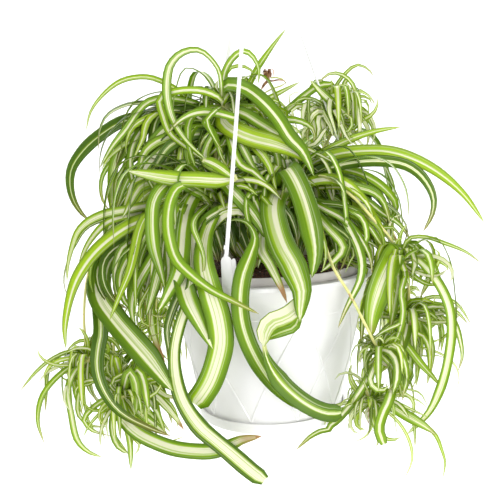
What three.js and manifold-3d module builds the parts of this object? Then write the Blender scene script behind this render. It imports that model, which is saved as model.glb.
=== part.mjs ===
import * as THREE from 'three';
import { mergeVertices } from 'three/addons/utils/BufferGeometryUtils.js';
import Module from 'manifold-3d';

const wasm = await Module();
wasm.setup();

// Millimetres, +Z up. The origin is the bearing point inside the hook, the front is -Y.

// Heights of the hanging pot
const rimZ = -381;
const apexDrop = 45;

// Pot
const facets = 40;
const innerFacets = 24;
const latticeDiamonds = 10;
const latticeRows = facets / latticeDiamonds;
const latticeRelief = 0.9;
const lipRadius = 109;
const lipInnerRadius = 101;
const bandBottom = [95.2, -32];
const bodyTop = [94, -33];
const bodyBottom = [72, -138];
const potFloorTop = -140.6;

// Inner pot, soil and saucer
const seatGap = 0.3;
const collarRadius = 98;
const collarHeight = 7.5;
const innerFloorTop = -138.8;
const soilLevel = -2;
const soilMound = 4;
const crownHole = { radius: 25, depth: 27 };
const saucerRadius = 75;

// Hanger
const strandAngles = { front: -20, right: 100, back: -140 };
const strandWidth = 3.6;
const strandThickness = 1.5;
const strandTopRadius = 8;
const paddleWidth = 10;
const paddleTop = 32;
const paddleBottom = -12;
const collarPlate = { radius: 13, top: -40, thickness: 5 };
const hookRadius = 14;
const hookBar = 3;

// The eye that the front leaves were laid out from: a lens of eyeFocal pixels on a 500 pixel picture
const eye = new THREE.Vector3(-16.5, -800, rimZ + 141);
const eyeFocal = 800;
const eyePitch = THREE.MathUtils.degToRad(8.7);
const eyeRoll = THREE.MathUtils.degToRad(2.4);
const pictureCentre = 250;

// Leaf section, in shares of the half width or in mm
const channelLift = 0.22;
const bladeTop = 0.35;
const bladeKeel = 0.55;

// Leaves, runners and plantlets
const seenFacing = new THREE.Vector3(0, -1, 0.3).normalize();
const facingPull = 4;
const segmentLength = 30;
const widestSmallLeaf = 8;
const runnerRadius = 1.4;
const runnerGap = 0.2;
const runnerStep = 22;
const plantletCrown = 5;
const goldenAngle = 137.5;
const mostRoots = 3;
const rosetteSegments = 5;
const plantletDroop = [0.31, 0.42];
const faceTolerances = [0.05, 0.04, 0.06, 0.03, 0.07, 0.02, 0.08, 0.01, 0.1];
const weld = 1e-3;
const fileRounding = 1e-4;
const shortestEdge = 5e-3;
const seeds = { mother: 1207, plantlets: 4211 };

const colours = {
  white: '#f2f2ee',
  inner: '#a59a98',
  soil: '#33231b',
  leaf: '#7fae35',
  plantlet: '#8fb648',
  dry: '#a9714c',
};

function material(colour, roughness) {
  return new THREE.MeshStandardMaterial({ color: colour, roughness, metalness: 0 });
}

// Solids and meshes

function solidOf(positions, triangles) {
  const mesh = new wasm.Mesh({
    numProp: 3,
    vertProperties: Float32Array.from(positions),
    triVerts: Uint32Array.from(triangles),
  });
  return new wasm.Manifold(mesh);
}

// A solid from a geometry whose corners are merged, without the faces that collapse
function solidFrom(geometry) {
  const plain = geometry.clone();
  plain.deleteAttribute('normal');
  plain.deleteAttribute('uv');
  const merged = mergeVertices(plain, weld);
  const index = merged.index.array;
  const kept = [];
  for (let i = 0; i < index.length; i += 3) {
    const [a, b, c] = [index[i], index[i + 1], index[i + 2]];
    if (a !== b && b !== c && c !== a) kept.push(a, b, c);
  }
  return solidOf(merged.attributes.position.array, kept);
}

function geometryOf(solid) {
  const mesh = solid.getMesh();
  const geometry = new THREE.BufferGeometry();
  geometry.setAttribute('position', new THREE.BufferAttribute(mesh.vertProperties, 3));
  geometry.setIndex(new THREE.BufferAttribute(mesh.triVerts, 1));
  geometry.computeVertexNormals();
  return geometry;
}

// One body: sealed hollows are filled and loose scraps are dropped
function oneBody(solid) {
  const pieces = solid.decompose();
  return pieces.reduce((best, piece) => (piece.volume() > best.volume() ? piece : best));
}

// Whether every edge still joins two faces once the corners are rounded
function staysClosed(solid) {
  const mesh = solid.getMesh();
  const corner = (vertex) => {
    const at = mesh.vertProperties.slice(3 * vertex, 3 * vertex + 3);
    return Array.from(at, (value) => Math.round(value / fileRounding)).join(' ');
  };
  const uses = new Map();
  for (let i = 0; i < mesh.triVerts.length; i += 3) {
    const [a, b, c] = [0, 1, 2].map((k) => corner(mesh.triVerts[i + k]));
    if (a === b || b === c || c === a) continue;
    [[a, b], [b, c], [c, a]].forEach((pair) => {
      const key = pair.sort().join();
      uses.set(key, (uses.get(key) || 0) + 1);
    });
  }
  return [...uses.values()].every((count) => count === 2);
}

// Joins the two ends of every edge too short to keep
function withoutShortEdges(solid) {
  const mesh = solid.getMesh();
  const at = (vertex) => new THREE.Vector3().fromArray(mesh.vertProperties, 3 * vertex);
  const into = Array.from({ length: mesh.vertProperties.length / 3 }, (_, vertex) => vertex);
  const home = (vertex) => (into[vertex] === vertex ? vertex : home(into[vertex]));
  for (let i = 0; i < mesh.triVerts.length; i += 3) {
    for (let k = 0; k < 3; k += 1) {
      const [a, b] = [mesh.triVerts[i + k], mesh.triVerts[i + ((k + 1) % 3)]];
      if (at(a).distanceTo(at(b)) < shortestEdge) into[home(a)] = home(b);
    }
  }
  const kept = [];
  for (let i = 0; i < mesh.triVerts.length; i += 3) {
    const [a, b, c] = [0, 1, 2].map((k) => home(mesh.triVerts[i + k]));
    if (a !== b && b !== c && c !== a) kept.push(a, b, c);
  }
  const used = [...new Set(kept)];
  const order = new Map(used.map((vertex, i) => [vertex, i]));
  return solidOf(used.flatMap((vertex) => at(vertex).toArray()), kept.map((vertex) => order.get(vertex)));
}

function fuse(solids) {
  const whole = wasm.Manifold.union(solids);
  for (const tolerance of faceTolerances) {
    try {
      const trimmed = withoutShortEdges(oneBody(whole.simplify(tolerance)));
      const body = oneBody(solidFrom(geometryOf(trimmed)));
      if (staysClosed(body)) return body;
    } catch (notClosed) {
      continue;
    }
  }
  throw new Error('the fused solid does not stay closed');
}

const group = new THREE.Group();
group.name = 'potted_spider_plant';

function addPiece(name, solid, colour, roughness) {
  const mesh = new THREE.Mesh(geometryOf(solid), material(colour, roughness));
  mesh.name = name;
  group.add(mesh);
}

// Pot, inner pot, soil and saucer: turned shapes about the Z axis, heights from the rim

function turned(profile, sides) {
  const points = profile.map(([radius, z]) => new THREE.Vector2(radius, z));
  const lathe = new THREE.LatheGeometry(points, sides);
  lathe.rotateX(Math.PI / 2);
  lathe.translate(0, 0, rimZ);
  return solidFrom(lathe);
}

// A point of ring i, facet j; the lattice lines run one diamond sideways over the body's height
function latticePoint(row, facet) {
  const share = row / latticeRows;
  const radius = THREE.MathUtils.lerp(bodyBottom[0], bodyTop[0], share);
  const z = THREE.MathUtils.lerp(bodyBottom[1], bodyTop[1], share);
  const step = facets / latticeDiamonds;
  const onLine = (facet - row) % step === 0 || (facet + row) % step === 0;
  const edge = row === 0 || row === latticeRows;
  return [radius + (onLine && !edge ? latticeRelief : 0), z];
}

function potSolid() {
  const below = [[64, -143], [64.5, -147.3], [68.5, -147.3], [73.3, -143.8], [73.3, -141.8],
    [72.1, -141]];
  const above = [bandBottom, [103, -4.2], [lipRadius, -4.2], [lipRadius, -0.8], [lipRadius - 0.8, 0],
    [lipInnerRadius, 0], [92.6, -33.4], [70.2, -138], [69.4, potFloorTop]];
  const rings = below.map(([r, z]) => () => [r, z]);
  for (let row = 0; row <= latticeRows; row += 1) rings.push((facet) => latticePoint(row, facet));
  above.forEach(([r, z]) => rings.push(() => [r, z]));
  const positions = [];
  rings.forEach((ring) => {
    for (let facet = 0; facet < facets; facet += 1) {
      const [radius, z] = ring(facet);
      const turn = (facet / facets) * 2 * Math.PI;
      positions.push(radius * Math.cos(turn), radius * Math.sin(turn), z + rimZ);
    }
  });
  const bottomCentre = rings.length * facets;
  positions.push(0, 0, below[0][1] + rimZ, 0, 0, potFloorTop + rimZ);
  const triangles = [];
  for (let facet = 0; facet < facets; facet += 1) {
    const next = (facet + 1) % facets;
    for (let ring = 0; ring < rings.length - 1; ring += 1) {
      const [a, b] = [ring * facets + facet, ring * facets + next];
      const [c, d] = [a + facets, b + facets];
      const leaning = (facet - (ring - below.length)) % 2 === 0;
      if (leaning) triangles.push(a, b, d, a, d, c);
      else triangles.push(a, b, c, b, d, c);
    }
    const last = (rings.length - 1) * facets;
    triangles.push(bottomCentre, next, facet);
    triangles.push(bottomCentre + 1, last + facet, last + next);
  }
  return solidOf(positions, triangles);
}

const pot = potSolid();
addPiece('pot', pot, colours.white, 0.42);

const nurseryPot = turned([
  [0, potFloorTop + seatGap], [67, potFloorTop + seatGap], [90, -33], [94.6, -3],
  [collarRadius, -1], [collarRadius, collarHeight - 0.6], [collarRadius - 0.8, collarHeight],
  [96, collarHeight], [93.2, -3], [88.5, -33], [65.4, innerFloorTop], [0, innerFloorTop]], innerFacets);
addPiece('nursery_pot', nurseryPot, colours.inner, 0.6);

const saucer = turned([
  [0, -149.4], [72.6, -149.4], [saucerRadius - 0.2, -148], [saucerRadius + 0.6, -138.6],
  [saucerRadius, -138], [72.9, -139.4], [74.4, -141.2], [73.7, -147.6], [0, -147.6]], facets);
addPiece('saucer', saucer, colours.white, 0.42);

function prism(radius, sides, bottomZ, topZ) {
  const cylinder = new THREE.CylinderGeometry(radius, radius, topZ - bottomZ, sides);
  cylinder.rotateX(Math.PI / 2);
  cylinder.translate(0, 0, (topZ + bottomZ) / 2);
  return solidFrom(cylinder);
}

const soilFloor = innerFloorTop + seatGap;
const holeFloorZ = rimZ + soilLevel - crownHole.depth;
const soilBody = turned([
  [0, soilFloor], [64.8, soilFloor], [87.9, -33], [92.4, soilLevel - 2], [88, soilLevel],
  [50, soilLevel + soilMound * 0.7], [0, soilLevel + soilMound]], innerFacets);
const soil = soilBody.subtract(prism(crownHole.radius, 12, holeFloorZ, rimZ + 20));
addPiece('soil', soil, colours.soil, 0.95);

// Hanger: a round bar hook on a slotted plate, and three strands with a clip over the rim

function radialFrame(angle, origin) {
  const turn = THREE.MathUtils.degToRad(angle);
  const outward = new THREE.Vector3(Math.sin(turn), -Math.cos(turn), 0);
  const sideways = new THREE.Vector3(-Math.cos(turn), -Math.sin(turn), 0);
  const frame = new THREE.Matrix4().makeBasis(sideways, outward, new THREE.Vector3(0, 0, 1));
  frame.setPosition(origin);
  return frame;
}

function hookSolid() {
  const route = new THREE.CurvePath();
  const foot = collarPlate.top - collarPlate.thickness / 2;
  const centreZ = hookBar - hookRadius;
  const arc = [];
  for (let degrees = -20; degrees <= 200; degrees += 20) {
    const turn = THREE.MathUtils.degToRad(degrees);
    arc.push(new THREE.Vector3(hookRadius * Math.cos(turn), 0, centreZ + hookRadius * Math.sin(turn)));
  }
  const stem = [new THREE.Vector3(0, 0, foot), new THREE.Vector3(0, 0, foot + 7),
    new THREE.Vector3(4, 0, foot + 15)];
  route.add(new THREE.CatmullRomCurve3([...stem, ...arc]));
  const section = new THREE.Shape();
  for (let side = 0; side < 6; side += 1) {
    const turn = ((side + 0.5) / 6) * 2 * Math.PI;
    const [x, y] = [hookBar * Math.cos(turn), hookBar * Math.sin(turn)];
    if (side === 0) section.moveTo(x, y);
    else section.lineTo(x, y);
  }
  section.closePath();
  return solidFrom(new THREE.ExtrudeGeometry(section, { steps: 22, extrudePath: route.curves[0] }));
}

function slotSolid(angle) {
  const box = new THREE.BoxGeometry(strandWidth + 1, strandThickness + 1, 4 * collarPlate.thickness);
  box.translate(0, strandTopRadius, collarPlate.top);
  box.applyMatrix4(radialFrame(angle, new THREE.Vector3()));
  return solidFrom(box);
}

const plate = prism(collarPlate.radius, 20, collarPlate.top - collarPlate.thickness, collarPlate.top);
let hook = plate.add(hookSolid());
Object.values(strandAngles).forEach((angle) => {
  hook = hook.subtract(slotSolid(angle));
});
addPiece('hanger_hook', oneBody(hook), colours.white, 0.42);

function plateOutline(points, thickness, alongY) {
  const outline = new THREE.Shape(points.map(([a, b]) => new THREE.Vector2(a, b)));
  const solid = new THREE.ExtrudeGeometry(outline, { depth: thickness, bevelEnabled: false });
  solid.rotateX(Math.PI / 2);
  solid.translate(0, alongY + thickness, 0);
  return solid;
}

function strandSolid(angle) {
  const frame = radialFrame(angle, new THREE.Vector3(0, 0, rimZ));
  const half = paddleWidth / 2;
  const outer = lipRadius + 0.5;
  const paddle = plateOutline([[-half, paddleTop - 12], [-half, 0], [-0.8, paddleBottom],
    [0.8, paddleBottom], [half, 0], [half, paddleTop - 12], [half - 1.6, paddleTop - 6],
    [1.8, paddleTop], [-1.8, paddleTop], [-half + 1.6, paddleTop - 6]], 1.8, outer);
  const rib = plateOutline([[-half + 0.6, paddleTop - 8], [-half - 2.4, paddleTop - 4],
    [-half - 4, paddleTop - 8], [-half - 3.6, paddleBottom], [-half + 0.6, paddleBottom + 1]], 1.2, outer);
  const hookOver = new THREE.ExtrudeGeometry(new THREE.Shape([
    [outer + 0.9, 0.5], [outer + 0.9, 2.4], [99.2, 2.4], [98.4, -4], [99.4, -4], [100.4, 0.5],
  ].map(([a, b]) => new THREE.Vector2(a, b))), { depth: 6, bevelEnabled: false });
  hookOver.translate(0, 0, -3);
  hookOver.applyMatrix4(new THREE.Matrix4().makeBasis(
    new THREE.Vector3(0, 1, 0), new THREE.Vector3(0, 0, 1), new THREE.Vector3(1, 0, 0)));
  const strandLow = new THREE.Vector3(0, outer + 0.9, paddleTop - 4);
  const bend = new THREE.Vector3(0, strandTopRadius, -rimZ - apexDrop - 3);
  const band = barBetween(strandLow, bend, strandWidth, strandThickness);
  const neck = new THREE.BoxGeometry(strandWidth, strandThickness, apexDrop + 4 - 38);
  neck.translate(0, strandTopRadius, bend.z + 4.5);
  const head = new THREE.BoxGeometry(7, strandWidth, 2.4);
  head.translate(0, strandTopRadius, -rimZ + collarPlate.top + seatGap + 1.2);
  return fuse([paddle, rib, hookOver, band, neck, head].map((piece) => {
    piece.applyMatrix4(frame);
    return solidFrom(piece);
  }));
}

function barBetween(from, to, width, thickness) {
  const along = to.clone().sub(from);
  const bar = new THREE.BoxGeometry(width, thickness, along.length() + thickness);
  const up = along.clone().normalize();
  const side = new THREE.Vector3(1, 0, 0);
  bar.applyMatrix4(new THREE.Matrix4().makeBasis(side, up.clone().cross(side), up));
  bar.translate(...from.clone().add(to).multiplyScalar(0.5).toArray());
  return bar;
}

Object.entries(strandAngles).forEach(([name, angle]) => {
  addPiece(`hanger_strand_${name}`, strandSolid(angle), colours.white, 0.42);
});

// Leaves

// A point that the eye sees at (px, py), toward mm in front of the pot's axis
function seen([px, py, toward]) {
  const [right, up] = [px - pictureCentre, pictureCentre - py];
  const u = right * Math.cos(eyeRoll) + up * Math.sin(eyeRoll);
  const w = up * Math.cos(eyeRoll) - right * Math.sin(eyeRoll);
  const ray = new THREE.Vector3(
    u,
    eyeFocal * Math.cos(eyePitch) + w * Math.sin(eyePitch),
    w * Math.cos(eyePitch) - eyeFocal * Math.sin(eyePitch));
  const reach = (-toward - eye.y) / ray.y;
  return eye.clone().addScaledVector(ray, reach);
}

// The outline of what stands under the leaves, by height from the rim
function wallRadius(height) {
  const corners = [[-160, 0], [-150, 76], [-138, 76], [-33, 96], [-5, 104], [-4, 111], [12, 111]];
  if (height > 12 || height < -160) return 0;
  const upper = corners.findIndex(([z]) => z >= height);
  const [z1, r1] = corners[Math.max(upper, 1)];
  const [z0, r0] = corners[Math.max(upper, 1) - 1];
  return r0 + ((r1 - r0) * (height - z0)) / (z1 - z0);
}

// Moves a leaf's point out of the pot, or up from the soil
function clearOfPot(point, margin) {
  const height = point.z - rimZ;
  const radius = Math.hypot(point.x, point.y);
  const wall = wallRadius(height) + margin;
  if (wall <= margin || radius >= wall) return point;
  if (radius < 88 && height > -30) {
    point.z = rimZ + 12 + margin;
    return point;
  }
  const push = wall / Math.max(radius, 1);
  point.x *= push;
  point.y *= push;
  return point;
}

// Share of the full width, from the root at 0 to the tip at 1
function leafWidth(share, blunt) {
  const root = 0.4 + 0.6 * Math.min(1, share / 0.28);
  const tip = blunt ? 1 : Math.min(1, ((1 - share) / 0.55) ** 0.75);
  return root * tip;
}

// Carries the upper face's direction along the blade, from where it faces best, without a flip
function bladeNormals(tangents, facing) {
  const flats = tangents.map((along) => facing.clone().addScaledVector(along, -facing.dot(along)));
  const best = flats.reduce((at, flat, i) => (flat.length() > flats[at].length() + 1e-6 ? i : at), 0);
  const normals = [];
  normals[best] = flats[best].clone().normalize();
  const relax = facingPull / tangents.length;
  const carry = (from, to) => {
    const normal = normals[from].clone().addScaledVector(tangents[to], -normals[from].dot(tangents[to]));
    normal.normalize();
    if (normal.dot(flats[to]) > 0) normal.addScaledVector(flats[to], relax).normalize();
    normals[to] = normal;
  };
  for (let i = best + 1; i < tangents.length; i += 1) carry(i - 1, i);
  for (let i = best - 1; i >= 0; i -= 1) carry(i + 1, i);
  return normals;
}

// A channelled blade along a path, level across or with its upper face turned to facing; a small one is
// flat on top
function leafSolid(leaf, segments) {
  const { points, width, facing, level, blunt = false, small = false } = leaf;
  const curve = new THREE.CatmullRomCurve3(points, false, 'centripetal');
  const shares = Array.from({ length: segments + 1 }, (_, i) => i / segments);
  const tangents = shares.map((share) => curve.getTangentAt(share));
  const normals = level
    ? tangents.map((along) => along.clone().cross(level).normalize())
    : bladeNormals(tangents, facing);
  const positions = [];
  shares.forEach((share, i) => {
    const centre = clearOfPot(curve.getPointAt(share), 4 + width * 0.25);
    if (i === segments && !blunt) {
      positions.push(...centre.toArray());
      return;
    }
    const across = new THREE.Vector3().crossVectors(normals[i], tangents[i]);
    const half = (width / 2) * leafWidth(share, blunt);
    const thin = Math.min(1, half / 1.6);
    const corner = (sideways, up) => positions.push(...centre.clone()
      .addScaledVector(across, sideways).addScaledVector(normals[i], up).toArray());
    corner(-half, half * channelLift);
    if (!small) corner(0, bladeTop * thin);
    corner(half, half * channelLift);
    corner(0, -bladeKeel * thin);
  });
  return solidOf(positions, small ? smallTriangles(segments) : bladeTriangles(segments, blunt));
}

function smallTriangles(segments) {
  const triangles = [0, 1, 2];
  for (let ring = 0; ring < segments - 1; ring += 1) {
    const [left, right, keel] = [0, 1, 2].map((corner) => ring * 3 + corner);
    triangles.push(left, left + 3, right + 3, left, right + 3, right);
    triangles.push(left, keel, keel + 3, left, keel + 3, left + 3);
    triangles.push(right, right + 3, keel + 3, right, keel + 3, keel);
  }
  const [left, right, keel] = [3, 2, 1].map((back) => segments * 3 - back);
  const tip = segments * 3;
  triangles.push(left, tip, right, right, tip, keel, keel, tip, left);
  return triangles;
}

// Both faces of the blade are split along the same diagonals, from each edge to the middle
function bladeTriangles(segments, blunt) {
  const triangles = [0, 1, 2, 0, 2, 3];
  const rings = blunt ? segments : segments - 1;
  for (let ring = 0; ring < rings; ring += 1) {
    const [left, top, right, keel] = [0, 1, 2, 3].map((corner) => ring * 4 + corner);
    const [left2, top2, right2, keel2] = [left + 4, top + 4, right + 4, keel + 4];
    triangles.push(left, left2, top2, left, top2, top);
    triangles.push(right, top, top2, right, top2, right2);
    triangles.push(left, keel, keel2, left, keel2, left2);
    triangles.push(right, right2, keel2, right, keel2, keel);
  }
  const [left, top, right, keel] = [0, 1, 2, 3].map((corner) => rings * 4 + corner);
  if (blunt) {
    triangles.push(left, right, top, left, keel, right);
  } else {
    const tip = segments * 4;
    triangles.push(left, tip, top, top, tip, right, right, tip, keel, keel, tip, left);
  }
  return triangles;
}

function fromRim([x, y, z]) {
  return new THREE.Vector3(x, y, rimZ + z);
}

// The same draws every time, between low and high
function drawsFrom(seed) {
  let state = seed;
  return ([low, high]) => {
    state = (state * 16807) % 2147483647;
    return low + ((high - low) * state) / 2147483647;
  };
}

// Where the leaves grow from
const crowns = {
  left: seen([213, 200, 30]),
  high: seen([222, 106, 10]),
  right: seen([292, 190, 20]),
  rear: new THREE.Vector3(4, 44, rimZ + 58),
};

// Leaves of the mother plant that the front view shows: crown, width, style, points from root to tip.
// A point is its place in the picture and how far it lies in front of the pot's axis, in mm.
const motherLeaves = {
  thin_arch: ['high', 5, '', [[198, 110, 4], [180, 92, 4], [163, 82, 4], [147, 77, 4], [124, 80, 0],
    [107, 91, -5], [91, 111, -10], [86, 131, -12]]],
  dark_arch: ['high', 10, 'under', [[196, 118, -6], [162, 119, -12], [142, 118, -14], [122, 122, -16],
    [102, 134, -18], [84, 150, -20], [72, 168, -22], [70, 184, -22], [74, 201, -20], [84, 216, -15],
    [91, 221, -12]]],
  top_loop: ['high', 7, 'under', [[221, 82, 20], [219, 71, 20], [211, 59, 18], [201, 51, 16],
    [191, 50, 14], [179, 55, 12], [170, 66, 12], [167, 79, 14], [168, 97, 16], [172, 115, 18],
    [178, 131, 20], [181, 138, 22]]],
  pale_fold: ['high', 8, 'pale', [[219, 98, 26], [201, 91, 30], [175, 92, 32], [160, 99, 32],
    [163, 115, 32], [170, 133, 32], [186, 147, 34], [205, 161, 36]]],
  top_short: ['high', 7, '', [[223, 82, 8], [226, 69, 8], [234, 57, 6], [243, 51, 4], [250, 54, 2],
    [256, 61, 0]]],
  top_thin: ['high', 3, '', [[225, 80, 0], [229, 69, -2], [241, 66, -4], [252, 71, -6]]],
  tall_straight: ['high', 6.5, '', [[238, 99, -4], [248, 87, -7], [256, 71, -10], [265, 57, -12],
    [275, 43, -14], [286, 29, -16]]],
  small_right: ['high', 4, '', [[250, 104, -16], [265, 100, -22], [279, 93, -28], [300, 82, -34]]],
  folded_end: ['high', 8, 'blunt', [[240, 122, -8], [262, 124, -14], [285, 112, -18], [303, 97, -20],
    [319, 86, -20], [331, 84, -20]]],
  white_centre: ['high', 14, 'wide', [[225, 86, 22], [244, 88, 30], [262, 101, 36], [278, 119, 42],
    [290, 138, 48], [303, 152, 54], [314, 176, 60]]],
  creamy: ['high', 15, 'cream', [[236, 122, 22], [258, 132, 30], [278, 141, 36], [297, 150, 40],
    [310, 164, 42]]],
  under_creamy: ['high', 12, 'wide', [[230, 110, 10], [243, 113, 14], [258, 122, 18], [278, 135, 24],
    [296, 150, 26]]],
  left_small: ['high', 7, '', [[221, 112, 34], [207, 111, 40], [192, 115, 42], [178, 124, 44],
    [168, 136, 44]]],
  inner_small: ['high', 5, '', [[214, 112, 46], [207, 120, 50], [212, 134, 52], [223, 153, 54]]],
  level_left: ['right', 13, 'pale', [[268, 176, 36], [240, 170, 44], [216, 175, 50], [199, 178, 53],
    [173, 178, 56], [148, 175, 56], [127, 171, 54]]],
  long_left: ['left', 13, 'bright', [[195, 200, 40], [172, 207, 48], [149, 218, 52], [131, 225, 52],
    [111, 238, 50], [92, 256, 46], [77, 279, 42], [69, 303, 38], [65, 329, 34], [66, 349, 30]]],
  left_kinked: ['left', 8, '', [[185, 203, 20], [150, 205, 14], [120, 210, 8], [102, 215, 2],
    [86, 223, -2], [77, 239, -6], [70, 258, -8], [65, 278, -10], [68, 297, -12]]],
  hang_a: ['left', 13, 'wide', [[192, 190, 56], [175, 181, 64], [163, 187, 72], [154, 201, 78],
    [152, 221, 82], [154, 247, 84], [160, 269, 86], [165, 288, 88]]],
  hang_b: ['left', 10, 'bright', [[204, 193, 52], [190, 186, 70], [178, 188, 84], [171, 200, 94],
    [168, 221, 102], [170, 239, 108], [177, 260, 116], [195, 278, 124], [213, 291, 130],
    [233, 301, 134], [245, 307, 136], [259, 314, 136]]],
  hang_c: ['left', 15, 'wide', [[198, 193, 44], [189, 206, 58], [184, 229, 78], [182, 252, 94],
    [179, 272, 104], [168, 294, 106], [158, 312, 106]]],
  dark_inner: ['left', 8, 'under', [[215, 207, 54], [204, 212, 64], [198, 220, 70], [193, 230, 74]]],
  cream_strap: ['left', 20, 'cream', [[216, 212, 58], [210, 224, 68], [205, 240, 82], [204, 264, 104],
    [210, 290, 117], [218, 316, 115], [221, 341, 108], [216, 365, 100], [208, 385, 94], [195, 404, 88]]],
  centre_strap: ['left', 12, 'under', [[213, 233, 52], [221, 225, 62], [235, 220, 72], [248, 224, 84],
    [256, 236, 96], [250, 254, 106], [243, 273, 114], [239, 293, 119], [239, 316, 116], [245, 339, 110],
    [255, 360, 104], [270, 385, 98], [285, 400, 94], [300, 412, 90], [318, 416, 84]]],
  twisted_top: ['right', 17, 'cream', [[282, 192, 44], [276, 203, 62], [277, 221, 80], [283, 239, 94],
    [292, 261, 108], [301, 280, 116], [303, 300, 120], [294, 318, 121], [280, 326, 121],
    [267, 330, 121]]],
  twisted_end: ['right', 17, 'wide', [[290, 210, 60], [296, 250, 98], [290, 290, 116], [272, 314, 116],
    [263, 332, 115], [265, 348, 112], [275, 370, 106], [290, 388, 100], [305, 402, 96], [320, 411, 90],
    [342, 416, 82]]],
  pale_tip: ['right', 9, 'dry', [[280, 214, 50], [264, 232, 74], [262, 251, 96], [269, 263, 106],
    [277, 279, 114], [283, 292, 118], [287, 303, 118]]],
  broad_centre: ['right', 20, 'wide', [[286, 178, 30], [287, 168, 42], [294, 178, 56], [300, 194, 66],
    [307, 214, 78], [312, 238, 92], [314, 260, 104], [311, 280, 114]]],
  right_hang: ['right', 10, '', [[305, 192, 34], [319, 201, 44], [334, 209, 54], [347, 223, 66],
    [357, 242, 80], [362, 262, 90], [359, 280, 96], [350, 303, 98], [339, 327, 98]]],
  right_pale: ['right', 12, 'pale', [[308, 182, 30], [333, 179, 36], [350, 186, 40], [364, 198, 44],
    [373, 213, 46]]],
  right_short: ['right', 10, '', [[318, 178, 22], [342, 183, 28], [362, 189, 32], [379, 198, 36],
    [387, 211, 38], [390, 226, 40]]],
  long_right: ['right', 14, 'bright', [[302, 172, 14], [317, 161, 12], [338, 154, 10], [364, 151, 8],
    [389, 152, 6], [415, 160, 4], [440, 174, 2], [463, 194, 0], [484, 222, -2]]],
  under_right: ['right', 12, 'under', [[304, 178, 24], [320, 171, 26], [345, 164, 26], [376, 161, 26],
    [405, 165, 26], [422, 177, 26], [433, 197, 26], [432, 214, 26], [423, 232, 26]]],
  up_right: ['right', 8, '', [[303, 166, 2], [324, 152, -2], [351, 139, -4], [376, 131, -6],
    [401, 127, -8]]],
  thin_fold: ['high', 5, 'pale', [[246, 124, 46], [266, 128, 54], [286, 136, 58], [304, 145, 62],
    [322, 156, 64], [342, 167, 64]]],
  low_sweep: ['left', 12, 'under', [[180, 215, 14], [135, 235, 4], [107, 268, 0], [98, 300, 2],
    [96, 333, 8], [94, 351, 12], [96, 371, 18], [102, 392, 26], [112, 408, 34], [122, 419, 42],
    [134, 429, 50], [153, 439, 62], [179, 447, 76], [200, 448, 86], [225, 443, 92], [245, 439, 96],
    [262, 437, 98]]],
  low_diagonal: ['left', 15, 'wide', [[195, 215, 60], [191, 245, 84], [191, 275, 96], [189, 302, 100],
    [180, 325, 100], [175, 350, 100], [176, 375, 98], [182, 397, 96], [189, 411, 96], [201, 426, 96],
    [216, 440, 96], [235, 456, 96], [254, 472, 96], [265, 480, 96]]],
  broad_diagonal: ['left', 18, 'cream', [[165, 212, 34], [125, 228, 28], [97, 250, 24], [89, 275, 30],
    [101, 300, 42], [115, 319, 52], [128, 336, 60], [147, 356, 68], [162, 374, 72], [171, 388, 74]]],
  left_loop: ['high', 8, '', [[200, 128, -22], [180, 138, -28], [162, 145, -30], [139, 147, -30],
    [117, 160, -30], [104, 178, -30], [102, 193, -30], [109, 210, -28]]],
  left_thin: ['left', 7, '', [[195, 175, 12], [175, 160, 8], [151, 152, 2], [130, 162, -2],
    [117, 179, -6], [114, 199, -8]]],
  left_blunt: ['high', 11, 'blunt', [[196, 128, -34], [170, 127, -40], [146, 128, -44], [131, 132, -46],
    [125, 150, -46]]],
};

// Rosettes: crown, leaves, azimuths, reach, rise, droop and width; azimuth 0 is the front, 90 the right.
// skip lists the leaves that would cross another piece.
const rosettes = [
  { crown: 'rear', leaves: 23, azimuth: [95, 265], reach: [90, 165], rise: [34, 80], droop: [0.33, 0.46],
    width: [9, 15], skip: [20, 21] },
  { crown: 'high', leaves: 10, azimuth: [80, 300], reach: [50, 105], rise: [14, 40], droop: [0.3, 0.42],
    width: [6, 10], skip: [] },
  { crown: 'left', leaves: 10, azimuth: [190, 330], reach: [70, 125], rise: [22, 56], droop: [0.33, 0.42],
    width: [7, 12], skip: [] },
  { crown: 'right', leaves: 10, azimuth: [35, 175], reach: [70, 120], rise: [22, 56], droop: [0.33, 0.42],
    width: [7, 12], skip: [4, 5, 6] },
];

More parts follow.
